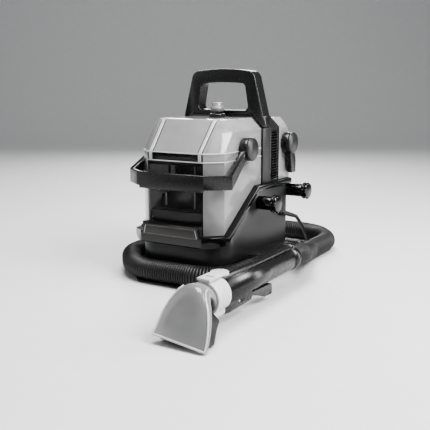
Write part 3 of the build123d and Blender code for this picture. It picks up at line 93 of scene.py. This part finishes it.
def map_range(tree, value, before, after):
    """The value, stretched so that the range before becomes the range after."""
    node = add_node(tree, "ShaderNodeMapRange")
    node.inputs["From Min"].default_value, node.inputs["From Max"].default_value = before
    node.inputs["To Min"].default_value, node.inputs["To Max"].default_value = after
    tree.links.new(value, node.inputs["Value"])
    return node.outputs["Result"]


def remap(tree, value, low, high):
    """A noise value, whose middle range is stretched to low to high."""
    return map_range(tree, value, NOISE_MIDDLE, (low, high))


def calculated(tree, operation, *values):
    """The result of a maths node."""
    node = add_node(tree, "ShaderNodeMath")
    node.operation = operation
    for socket, value in zip(node.inputs, values):
        tree.links.new(value, socket)
    return node.outputs["Value"]


def mixed(tree, share, first, second):
    """Colour that goes from first to second as the share goes from 0 to 1."""
    node = tree.nodes.new("ShaderNodeMix")
    node.data_type = "RGBA"
    colour_a, colour_b = [socket for socket in node.inputs if socket.type == "RGBA"]
    colour_a.default_value = first
    colour_b.default_value = second
    tree.links.new(share, node.inputs["Factor"])
    return [socket for socket in node.outputs if socket.type == "RGBA"][0]


def shade(grey, tint=WHITE):
    """A grey as a colour, with an optional tint."""
    return (grey * tint[0], grey * tint[1], grey * tint[2], 1.0)


def plastic(name, grey, rough, grain=0.0, coat=0.0, tint=WHITE, metal=0.0, mottle=0.12):
    """Moulded surface: slight colour mottle, uneven gloss and a fine grain."""
    material, tree = new_material(name)
    link = tree.links.new
    out = tree.nodes.new("ShaderNodeOutputMaterial")
    body = add_node(tree, "ShaderNodeBsdfPrincipled", Metallic=metal, Coat_Weight=coat,
                    Coat_Roughness=0.08)
    link(body.outputs["BSDF"], out.inputs["Surface"])
    broad = noise(tree, 34.0)
    colour = mixed(tree, remap(tree, broad, 0.0, 1.0), shade(grey * (1 - mottle), tint),
                   shade(grey * (1 + mottle), tint))
    link(colour, body.inputs["Base Color"])
    link(remap(tree, noise(tree, 320.0, 4.0), rough * 0.93, rough * 1.07), body.inputs["Roughness"])
    if grain:
        bump = add_node(tree, "ShaderNodeBump", Strength=grain, Distance=0.0002)
        link(noise(tree, GRAIN_SCALE, 2.0), bump.inputs["Height"])
        link(bump.outputs["Normal"], body.inputs["Normal"])
    return material


def see_through(name, grey, rough, clear, edge_share, window=None):
    """Thin clear plastic: see-through face on, greyer at grazing angles, lightly clouded.

    A window, if given, is a share that clears the surface where it faces straight forward.
    """
    material, tree = new_material(name)
    link = tree.links.new
    out = tree.nodes.new("ShaderNodeOutputMaterial")
    skin = add_node(tree, "ShaderNodeBsdfPrincipled", Coat_Weight=0.6, Coat_Roughness=0.03)
    gap = add_node(tree, "ShaderNodeBsdfTransparent", Color=shade(0.93))
    blend = tree.nodes.new("ShaderNodeMixShader")
    cloud = noise(tree, 22.0, 4.0)
    link(mixed(tree, remap(tree, cloud, 0.0, 1.0), shade(grey * 0.88), shade(grey * 1.12)),
         skin.inputs["Base Color"])
    link(remap(tree, noise(tree, 60.0, 5.0), rough * 0.7, rough * 1.3), skin.inputs["Roughness"])
    facing = add_node(tree, "ShaderNodeLayerWeight", Blend=0.5)
    share = map_range(tree, facing.outputs["Facing"], (0.0, 1.0), (1.0 - clear, edge_share))
    if window is not None:
        geometry = tree.nodes.new("ShaderNodeNewGeometry")
        split = tree.nodes.new("ShaderNodeSeparateXYZ")
        link(geometry.outputs["True Normal"], split.inputs["Vector"])
        forward = calculated(tree, "ABSOLUTE", split.outputs["Y"])
        cleared = map_range(tree, forward, FORWARD_SHARE, (1.0, window))
        share = calculated(tree, "MULTIPLY", share, cleared)
    link(share, blend.inputs["Fac"])
    link(gap.outputs["BSDF"], blend.inputs[1])
    link(skin.outputs["BSDF"], blend.inputs[2])
    link(blend.outputs["Shader"], out.inputs["Surface"])
    return material


BOARD = (0.35, 1.0, 0.6)
BROWN = (1.0, 0.9, 0.84)
LOOKS = {
    "charcoal": plastic("charcoal_casing", 0.008, 0.38, grain=0.05),
    "gloss_black": plastic("gloss_black", 0.003, 0.16),
    "satin_grey": plastic("satin_grey", 0.006, 0.28),
    "hub_grey": plastic("hub_grey", 0.016, 0.34),
    "name_panel": plastic("name_panel", 0.020, 0.34, tint=BROWN),
    "smoke_clear": see_through("smoke_clear", 0.27, 0.16, clear=0.30, edge_share=0.95, window=0.03),
    "smoke_plain": see_through("smoke_plain", 0.27, 0.16, clear=0.30, edge_share=0.95),
    "button_clear": plastic("button_clear", 0.16, 0.20, coat=0.3),
    "frost_clear": see_through("frost_clear", 0.22, 0.20, clear=0.36, edge_share=0.97),
    "milky_white": plastic("milky_white", 0.55, 0.28, coat=0.3),
    "seal_black": plastic("seal_black", 0.004, 0.55, grain=0.3),
    "tank_dark": plastic("tank_dark", 0.004, 0.30),
    # pale plastic that paints highlights on the clear parts' edges, ridges and corners, and colours
    # the nameplate's pale frame
    "rim_bright": plastic("rim_bright", 0.42, 0.20, coat=0.3),
    "float_white": plastic("float_white", 0.55, 0.40, grain=0.3),
    "spring_steel": plastic("spring_steel", 0.55, 0.24, metal=1.0),
    "hose_rubber": plastic("hose_rubber", 0.008, 0.46, grain=0.05),
    "cord_rubber": plastic("cord_rubber", 0.008, 0.45, grain=0.05),
    "motor_metal": plastic("motor_metal", 0.45, 0.34, metal=1.0, grain=0.2),
    "fan_metal": plastic("fan_metal", 0.60, 0.28, metal=1.0),
    "pump_plastic": plastic("pump_plastic", 0.60, 0.38, grain=0.2),
    "pipe_clear": plastic("pipe_clear", 0.50, 0.25, coat=0.4),
    "board_green": plastic("board_green", 0.06, 0.35, tint=BOARD),
}

slots = {part["node"]: part["material_slot"] for part in frame["record"]["subparts"]}


# ---------------------------------------------------------------- CAD nodes kept
WELD = 1e-5
SMOOTH_ANGLE = radians(32)
# width in millimetres of the rounding on a node's sharp edges; the other nodes have none
EDGE_ROUND = {
    "front_bail": 1.2, "rear_bail": 1.2, "base_tray": 0.4, "lower_casing": 1.0, "trim_collar": 1.0,
    "nameplate": 0.3, "spine_casing": 1.4, "hook_posts": 0.8, "front_hook_knob": 0.5,
    "rear_hook_knob": 0.5, "hose_port": 1.2, "tool_collar": 0.5, "tool_latch": 0.4, "trigger": 0.7,
    "grip_strip": 0.8, "front_lid": 1.0, "rear_lid": 1.0, "front_tank": 0.8, "rear_tank": 0.8,
    "nozzle_shroud": 1.0,
}


def soften(thing, width):
    """Shades a mesh smooth by angle, with its sharp edges rounded by a width in millimetres."""
    weld = thing.modifiers.new("weld", "WELD")
    weld.merge_threshold = WELD
    if width:
        bevel = thing.modifiers.new("bevel", "BEVEL")
        bevel.width = width * MM
        bevel.segments = 2
        bevel.limit_method = "ANGLE"
        bevel.angle_limit = SMOOTH_ANGLE
        bevel.harden_normals = True
    for face in thing.data.polygons:
        face.use_smooth = True
    thing.data.set_sharp_from_angle(angle=SMOOTH_ANGLE)


def dress(thing, slot):
    """Gives a mesh the material of a slot."""
    thing.data.materials.clear()
    thing.data.materials.append(LOOKS[slot])


REAR_CLEAR = ("rear_tank", "rear_lid")      # clear plastic without a front window

for name, thing in nodes.items():
    dress(thing, "smoke_plain" if name in REAR_CLEAR else slots[name])
    soften(thing, EDGE_ROUND.get(name, 0.0))


# ---------------------------------------------------------------- mesh helpers
def place(name, build, body, slot, *replaced, look=None):
    """A piece from a bmesh that build fills, riding on a body, with its slot's look or another."""
    mesh = bpy.data.meshes.new(name)
    made = bmesh.new()
    build(made)
    bmesh.ops.recalc_face_normals(made, faces=made.faces)
    made.to_mesh(mesh)
    made.free()
    thing = bpy.data.objects.new(name, mesh)
    bpy.context.scene.collection.objects.link(thing)
    for face in mesh.polygons:
        face.use_smooth = True
    mesh.set_sharp_from_angle(angle=SMOOTH_ANGLE)
    dress(thing, look or slot)
    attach(thing, body)
    if replaced:
        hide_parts(*replaced)
    return thing


def bridge(made, rings, closed_rings=True, caps=True):
    """Faces between successive rings of vertices, with both ends capped unless caps is false."""
    for ring, following in zip(rings, rings[1:]):
        count = len(ring)
        for i in range(count if closed_rings else count - 1):
            j = (i + 1) % count
            made.faces.new((ring[i], ring[j], following[j], following[i]))
    if caps:
        made.faces.new(list(reversed(rings[0])))
        made.faces.new(rings[-1])


def rounded_path(corners, bends, step):
    """Points at even steps along straight runs joined by arcs of the given radii."""
    points = [Vector(corners[0])]

    def run_to(target):
        start = points[-1]
        count = max(1, round((target - start).length / step))
        for i in range(1, count + 1):
            points.append(start.lerp(target, i / count))

    for before, corner, after, radius in zip(corners, corners[1:], corners[2:], bends):
        corner = Vector(corner)
        arrive = (corner - Vector(before)).normalized()
        leave = (Vector(after) - corner).normalized()
        turn = arrive.angle(leave)
        reach = radius * tan(turn / 2)
        start = corner - arrive * reach
        run_to(start)
        inward = (leave - arrive * leave.dot(arrive)).normalized()
        count = max(2, round(radius * turn / step))
        for i in range(1, count + 1):
            angle = turn * i / count
            points.append(start + arrive * radius * sin(angle) + inward * radius * (1 - cos(angle)))
    run_to(Vector(corners[-1]))
    return points


def tube_rings(made, points, radius_at, sides):
    """Rings of vertices along a path, without twist; radius_at takes the step's number."""
    rings = []
    side = None
    for index, point in enumerate(points):
        ahead = points[min(index + 1, len(points) - 1)] - points[max(index - 1, 0)]
        ahead.normalize()
        if side is None:
            side = ahead.cross(Vector((0, 0, 1))).normalized()
        side = (side - ahead * side.dot(ahead)).normalized()
        up = side.cross(ahead)
        radius = radius_at(index)
        angles = [2 * pi * k / sides for k in range(sides)]
        rings.append([made.verts.new(point + (side * cos(angle) + up * sin(angle)) * radius)
                      for angle in angles])
    return rings


# ---------------------------------------------------------------- corrugated hose
HOSE_R = 18.4 * MM
HOSE_SIDES = 28
RIB_DEEP = 2.7 * MM
RIB_PITCH = 4.6 * MM
RIB_WAVE = (0.0, 0.8, 1.0, 0.8)     # how far the surface stands out, in steps through one rib
RIB_STEPS = len(RIB_WAVE)
TOOL_X = 178 * MM
ON_TRAY = 22.1 * MM                 # the hose's middle, where it lies on the tray
ON_FLOOR = 18.6 * MM                # the hose's middle, where it lies on the floor
IN_GRIP = 49 * MM
cuff_low, cuff_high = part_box("hose_cuff")
# from the cuff round the front, the left side and the back to the grip
HOSE_CORNERS = (
    ((cuff_low.x + cuff_high.x) / 2, cuff_low.y, ON_TRAY), (0.1075, -0.148, ON_TRAY),
    (0.074, -0.188, ON_TRAY), (-0.072, -0.189, ON_TRAY), (-0.134, -0.113, ON_TRAY),
    (-0.152, -0.030, ON_FLOOR), (-0.148, 0.130, ON_FLOOR), (-0.080, 0.257, ON_FLOOR),
    (0.078, 0.257, ON_FLOOR), (0.130, 0.193, ON_FLOOR), (0.132, 0.088, ON_FLOOR),
    (0.150, 0.020, 0.028), (TOOL_X, -0.045, IN_GRIP), (TOOL_X, -0.0859, IN_GRIP))
HOSE_BENDS = (0.058,) * 2 + (0.09,) * 10


def build_hose(made):
    """A corrugated tube along the hose's path."""
    points = rounded_path(HOSE_CORNERS, HOSE_BENDS, RIB_PITCH / RIB_STEPS)

    def radius_at(index):
        return HOSE_R - RIB_DEEP * (1 - RIB_WAVE[index % RIB_STEPS])

    bridge(made, tube_rings(made, points, radius_at, HOSE_SIDES))


place("hose_ribbed", build_hose, "machine", "hose_rubber", "hose")


# ---------------------------------------------------------------- front lid ridges, with painted highlights and painted shade lines
LID_FACE_HALF = 0.056
LID_FRONT = -0.165
LID_SHOULDER = 0.220
LID_TOP = 0.273
SLOPE_LEAN = 0.84           # how far the lid's slope runs back for each unit it rises
BAR_SHOULDER = 0.55         # height of a bar's side, against its middle
BAR_FLAT = 0.82             # width of a bar's flat top, against its foot
BAR_SUNK = 0.0006


def strip_rings(made, spine, width, proud):
    """Rings of a flat bar along points (X, Y, Z) in side planes, standing out from the lid."""
    rings = []
    for index, point in enumerate(spine):
        ahead = Vector(spine[min(index + 1, len(spine) - 1)]) - Vector(spine[max(index - 1, 0)])
        outward = ahead.cross(Vector((1, 0, 0))).normalized()
        half = Vector((width / 2, 0, 0))
        lift = outward * proud
        shoulder = outward * proud * BAR_SHOULDER
        centre = Vector(point)
        inner = half * BAR_FLAT
        sunk = -outward * BAR_SUNK
        offsets = (-half + sunk, half + sunk, half + shoulder, inner + lift, -inner + lift,
                   -half + shoulder)
        rings.append([made.verts.new(centre + offset) for offset in offsets])
    return rings


def ridge_line(side, shift):
    """The edge of the lid's sloping face, from the top to the bucket, moved inward by a distance."""
    top_front = LID_FRONT + SLOPE_LEAN * (LID_TOP - LID_SHOULDER)
    points = [(LID_FACE_HALF + 0.002, top_front + 0.022, LID_TOP),
              (LID_FACE_HALF + 0.003, top_front + 0.002, LID_TOP),
              (LID_FACE_HALF + 0.002, top_front - 0.003, LID_TOP - 0.0036)]
    for share in (0.25, 0.5, 0.75, 0.97):
        height = LID_TOP - share * (LID_TOP - LID_SHOULDER)
        points.append((LID_FACE_HALF + 0.002 * (1 - share),
                       LID_FRONT + SLOPE_LEAN * (height - LID_SHOULDER), height))
    points += [(LID_FACE_HALF, LID_FRONT, LID_SHOULDER - 0.003),
               (LID_FACE_HALF, LID_FRONT, LID_SHOULDER - 0.013)]
    return [(side * (x - shift), y, z) for x, y, z in points]


RIDGE_INWARD = 0.0072
RIDGE_WIDE = 0.0062
RIDGE_PROUD = 0.0013
SHADE_LINE_WIDE = RIDGE_WIDE + 0.0036
SHADE_LINE_PROUD = 0.0004


def build_ridge_highlights(made):
    """Pale bars down both edges of the lid's sloping face, their pale colour a painted highlight."""
    for side in (-1, 1):
        bridge(made, strip_rings(made, ridge_line(side, RIDGE_INWARD), RIDGE_WIDE, RIDGE_PROUD))


def build_ridge_shade_lines(made):
    """Dark strips a little wider than the highlight bars, under them: painted shade outlining the
    highlights.
    """
    for side in (-1, 1):
        bridge(made, strip_rings(made, ridge_line(side, RIDGE_INWARD), SHADE_LINE_WIDE, SHADE_LINE_PROUD))


# pale bars that paint the highlights down the edges of the lid's sloping face
place("lid_ridge_highlights", build_ridge_highlights, "recovery_tank", "smoke_clear", look="rim_bright")
# dark strips that paint the shade outlining the lid's edge highlights
place("lid_ridge_shade_lines", build_ridge_shade_lines, "recovery_tank", "tank_dark")

# ---------------------------------------------------------------- tank corner highlights and baffle
TANK_LOW_FRONT = 0.0865
CORNER_FACE = (0.055, -0.165)
CORNER_SIDE = (0.081, -0.140)
CORNER_LINE_R = 0.0009


def build_corner_highlights(made):
    """A fine pale line down each vertical edge of the two front corners, a painted highlight."""
    for side in (-1, 1):
        for x, y in (CORNER_FACE, CORNER_SIDE):
            line = [Vector((side * x, y, TANK_LOW_FRONT)), Vector((side * x, y, 0.15)),
                    Vector((side * x, y, LID_SHOULDER - 0.001))]
            bridge(made, tube_rings(made, line, lambda index: CORNER_LINE_R, 10))


place("tank_corner_highlights", build_corner_highlights, "recovery_tank", "smoke_clear", look="rim_bright")

SEAM_Z = 0.206
SEAM_HALF_HIGH = 0.0011
SEAM_OUT = 0.0008
SEAM_IN = 0.0016
TANK_MIDDLE_Y = -0.08
TANK_PLAN = ((0.081, -0.014), (0.081, -0.140), (0.055, -0.165), (-0.055, -0.165), (-0.081, -0.140),
             (-0.081, -0.014))


def build_lid_seam_and_highlight(made):
    """Two thin pale bands that stand just proud of the tank, at the lid's rim and at its shoulder.
    The rim band marks the lid's real step, with a painted highlight on it; the shoulder band is a
    painted highlight line only.
    """
    # the rim band, then the shoulder band, which is a painted highlight line
    for height, proud in ((SEAM_Z, 0.0006), (LID_SHOULDER, 0.0004)):
        rings = []
        for x, y in TANK_PLAN:
            out = Vector((x, y - TANK_MIDDLE_Y, 0)).normalized() * proud
            at = Vector((x, y, height)) + out
            away = out.normalized()
            shifts = (Vector((0, 0, -SEAM_HALF_HIGH)), away * SEAM_OUT,
                      Vector((0, 0, SEAM_HALF_HIGH)), away * -SEAM_IN)
            rings.append([made.verts.new(at + shift) for shift in shifts])
        bridge(made, rings)


place("lid_seam_and_highlight", build_lid_seam_and_highlight, "recovery_tank", "smoke_clear", look="rim_bright")

BAFFLE_HALF = 0.050
BAFFLE_FRONT = -0.1615
BAFFLE_BACK = -0.141
BAFFLE_LOW = 0.090
LEDGE_Z = 0.121


def build_baffle(made):
    """A dark ledge and skirt just behind the bucket's front window."""
    outline = ((BAFFLE_FRONT, BAFFLE_LOW), (BAFFLE_FRONT, LEDGE_Z), (-0.1605, LEDGE_Z + 0.001),
               (-0.142, LEDGE_Z + 0.001), (BAFFLE_BACK, LEDGE_Z), (BAFFLE_BACK, 0.094),
               (-0.144, BAFFLE_LOW))
    rings = [[made.verts.new((x, y, z)) for y, z in outline]
             for x in (-BAFFLE_HALF, -0.02, 0.02, BAFFLE_HALF)]
    bridge(made, rings)


place("tank_baffle", build_baffle, "recovery_tank", "tank_dark")

TOWER_RAILS = ((-0.011, 0.155, 0.201), (0.028, 0.126, 0.201), (-0.030, 0.128, 0.150))   # X, low, high
RAIL_SECTION = ((-0.0012, -0.1468), (0.0012, -0.1468), (0.0009, -0.1492), (-0.0009, -0.1492))


def build_tower_rails(made):
    """Pale upright rails on the front of the separator tower."""
    for x, low, high in TOWER_RAILS:
        rings = [[made.verts.new((x + dx, y, z)) for dx, y in RAIL_SECTION]
                 for z in (low, (low + high) / 2, high)]
        bridge(made, rings)


place("tower_rails", build_tower_rails, "recovery_tank", "button_clear")


# ---------------------------------------------------------------- nameplate frame
plate_low, plate_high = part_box("nameplate")


PLATE_LOW_INSET = 0.0035
PLATE_HIGH_INSET = 0.0070
PLATE_RIM = 0.0022
FRAME_PROUD = 0.00015
FRAME_WIDE = 0.0011
FRAME_DEEP = 0.0005


def build_plate_frame(made):
    """A thin bright line just inside the plate's edge."""
    face = plate_low.y - FRAME_PROUD
    low_z = plate_low.z + PLATE_RIM
    high_z = plate_high.z - PLATE_RIM
    corners = [(plate_low.x + PLATE_LOW_INSET, low_z), (plate_high.x - PLATE_LOW_INSET, low_z),
               (plate_high.x - PLATE_HIGH_INSET, high_z), (plate_low.x + PLATE_HIGH_INSET, high_z)]
    middle = Vector((0, face, (plate_low.z + plate_high.z) / 2))
    back = Vector((0, FRAME_DEEP, 0))
    rings = []
    for x, z in corners + corners[:1]:
        at = Vector((x, face, z))
        inward = (middle - at).normalized() * FRAME_WIDE
        section = (at, at + inward, at + inward + back, at + back)
        rings.append([made.verts.new(point) for point in section])
    bridge(made, rings)


place("nameplate_frame", build_plate_frame, "machine", "button_clear", look="rim_bright")

# ---------------------------------------------------------------- springs
COIL_STEPS = 24             # points in each turn of a coil
WIRE_SIDES = 8


def squeezed_spring(node, body, wire, turns):
    """A coil in the place of a CAD spring."""
    low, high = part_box(node)
    radius = (high.x - low.x) / 2 - wire
    rise = high.z - low.z - 2 * wire
    middle = (low + high) / 2

    def build_coil(made):
        line = []
        for step in range(turns * COIL_STEPS + 1):
            angle = 2 * pi * step / COIL_STEPS
            height = low.z + wire + rise * step / (turns * COIL_STEPS)
            line.append(Vector((middle.x + radius * cos(angle), middle.y + radius * sin(angle),
                                height)))
        bridge(made, tube_rings(made, line, lambda step: wire, WIRE_SIDES))

    coil = place(node + "_coil", build_coil, body, "spring_steel", node)
    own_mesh(coil)


squeezed_spring("button_spring", "recovery_tank", 0.45 * MM, 3)
squeezed_spring("valve_spring", "water_tank", 0.6 * MM, 4)

# ---------------------------------------------------------------- fan nozzle
# centre Y and Z, lean from upright in degrees, width and depth of each section, in millimetres
NOZZLE_SECTIONS = (
    (-360, 50, 0, 41, 41), (-364, 54.5, 12, 40, 40), (-368, 59, 24, 39, 38), (-374, 63, 37, 39, 34),
    (-381, 63, 52, 43, 29), (-387, 58, 62, 51, 24), (-392, 51, 68, 60, 20), (-397, 42, 72, 68, 17),
    (-402, 33, 74, 74, 15), (-408, 21, 75, 79, 13), (-414, 11, 76, 82, 11), (-420, 3, 76, 84, 10))
SECTION_SIDES = 44
NOZZLE_WALL = 2.0
MOUTH_SLANT = 10.0          # the mouth's left end stands this much higher than its right end
LIP_R = 1.6 * MM
RAIL_R = 1.4 * MM
FIRST_RAIL = 3              # the section where the side rails start
RAIL_INSET = 1.2
RAIL_FORWARD = 0.30
LIP_INSET = 1.5
LIP_BACK = 0.4


def nozzle_point(index, across, forward):
    """A place in a section, by its distances in millimetres to the right and to the front."""
    y, z, lean, width, depth = NOZZLE_SECTIONS[index]
    share = index / (len(NOZZLE_SECTIONS) - 1)
    lift = MOUTH_SLANT * share ** 3 * (width / 2 - across) / width
    lean = radians(lean)
    return Vector((TOOL_X / MM + across, y - sin(lean) * forward + cos(lean) * lift,
                   z + cos(lean) * forward + sin(lean) * lift)) * MM


def softened(share, power):
    """A sine or cosine drawn towards a square's side, keeping its sign."""
    return abs(share) ** power * (1 if share > 0 else -1)


def section_ring(made, index, shrink):
    """One ring of the nozzle, rounder where it is as deep as wide, drawn in by a distance."""
    width, depth = NOZZLE_SECTIONS[index][3:]
    power = 1 / (2 - depth / width)
    ring = []
    for k in range(SECTION_SIDES):
        angle = 2 * pi * k / SECTION_SIDES
        across = softened(cos(angle), power) * (width / 2 - shrink)
        forward = softened(sin(angle), power) * (depth / 2 - shrink)
        ring.append(made.verts.new(nozzle_point(index, across, forward)))
    return ring


def build_nozzle(made):
    """Thin-walled shell: the outer skin down to the mouth, over the lip and back up the inside."""
    steps = range(len(NOZZLE_SECTIONS))
    outer = [section_ring(made, index, 0.0) for index in steps]
    inner = [section_ring(made, index, NOZZLE_WALL) for index in reversed(steps)]
    bridge(made, outer + inner, caps=False)
    first, last = outer[0], inner[-1]
    for i in range(SECTION_SIDES):
        j = (i + 1) % SECTION_SIDES
        made.faces.new((first[i], last[i], last[j], first[j]))


place("nozzle_shell", build_nozzle, "nozzle", "frost_clear", "fan_nozzle")


def build_nozzle_edge_highlights(made):
    """Thicker rails down both sides of the fan and along the front of its mouth, pale: painted
    highlights on the fan's edges and its lip.
    """
    last = len(NOZZLE_SECTIONS) - 1
    for side in (-1, 1):
        line = []
        for index in range(FIRST_RAIL, last + 1):
            width, depth = NOZZLE_SECTIONS[index][3:]
            line.append(nozzle_point(index, side * (width / 2 - RAIL_INSET), depth * RAIL_FORWARD))
        bridge(made, tube_rings(made, line, lambda step: RAIL_R, 10))
    width, depth = NOZZLE_SECTIONS[last][3:]
    lip = [nozzle_point(last, share * (width / 2 - LIP_INSET), depth / 2 - LIP_BACK)
           for share in (-1, -0.5, 0, 0.5, 1)]
    bridge(made, tube_rings(made, lip, lambda step: LIP_R, 10))


place("nozzle_edge_highlights", build_nozzle_edge_highlights, "nozzle", "milky_white", look="rim_bright")

# ---------------------------------------------------------------- stage, lights, camera
CAMERA_AT = Vector((0.664, -1.133, 0.335))
CAMERA_TURN = radians(31.2)
CAMERA_DIP = radians(10.6)
FOCAL_TO_WIDTH = 1.655
SENSOR_WIDTH = 36
STAGE_HALF = 6.0
STAGE_BACK = 4.0
STAGE_BEND = 1.5
FLOOR_DROP = 0.0002
BEND_STEPS = 12


def build_floor():
    """A pale floor that bends up into a backdrop, turned to face the camera."""
    mesh = bpy.data.meshes.new("floor")
    made = bmesh.new()
    bend_start = STAGE_BACK - STAGE_BEND
    profile = [(-STAGE_BACK, 0.0), (bend_start, 0.0)]
    for step in range(1, BEND_STEPS + 1):
        angle = pi / 2 * step / BEND_STEPS
        profile.append((bend_start + STAGE_BEND * sin(angle), STAGE_BEND * (1 - cos(angle))))
    profile.append((STAGE_BACK, STAGE_HALF))
    rings = [[made.verts.new((x, y, z)) for x in (-STAGE_HALF, STAGE_HALF)] for y, z in profile]
    bridge(made, rings, closed_rings=False, caps=False)
    made.to_mesh(mesh)
    made.free()
    for face in mesh.polygons:
        face.use_smooth = True
    floor = bpy.data.objects.new("floor", mesh)
    bpy.context.scene.collection.objects.link(floor)
    floor.data.materials.append(plastic("floor_paint", 0.60, 0.65, mottle=0.015))
    floor.location.z = -FLOOR_DROP
    floor.rotation_euler.z = CAMERA_TURN


def lamp(name, where, aim, size, power, height=None):
    """A soft rectangular light aimed at a point."""
    data = bpy.data.lights.new(name, "AREA")
    data.shape = "RECTANGLE"
    data.size = size
    data.size_y = height or size
    data.energy = power
    light = bpy.data.objects.new(name, data)
    light.location = where
    light.rotation_euler = (Vector(aim) - Vector(where)).to_track_quat("-Z", "Y").to_euler()
    bpy.context.scene.collection.objects.link(light)


build_floor()
MIDDLE = (0.0, -0.05, 0.15)
lamp("key", (1.3, -0.2, 1.3), MIDDLE, 0.8, 46)
lamp("fill", (-1.5, -1.2, 0.9), MIDDLE, 1.2, 7)
lamp("top", (0.1, -0.2, 1.7), MIDDLE, 0.9, 40)
lamp("side_strip", (1.6, 0.9, 0.6), MIDDLE, 0.4, 18, 1.2)
lamp("grip_strip", (1.1, -0.9, 1.0), (0.178, -0.22, 0.05), 0.35, 5, 1.2)
lamp("rim", (-0.9, 1.4, 1.1), MIDDLE, 0.8, 20)

STUDIO_COLOUR = (0.85, 0.87, 0.9, 1)
STUDIO_STRENGTH = 0.24
world = bpy.data.worlds.new("studio")
world.use_nodes = True
background = world.node_tree.nodes["Background"]
background.inputs["Color"].default_value = STUDIO_COLOUR
background.inputs["Strength"].default_value = STUDIO_STRENGTH
bpy.context.scene.world = world
bpy.context.scene.view_settings.look = "AgX - Medium High Contrast"

camera_data = bpy.data.cameras.new("camera")
camera_data.sensor_width = SENSOR_WIDTH
camera_data.lens = SENSOR_WIDTH * FOCAL_TO_WIDTH
camera = bpy.data.objects.new("camera", camera_data)
camera.location = CAMERA_AT
camera.rotation_euler = (pi / 2 - CAMERA_DIP, 0, CAMERA_TURN)
bpy.context.scene.collection.objects.link(camera)
bpy.context.scene.camera = camera
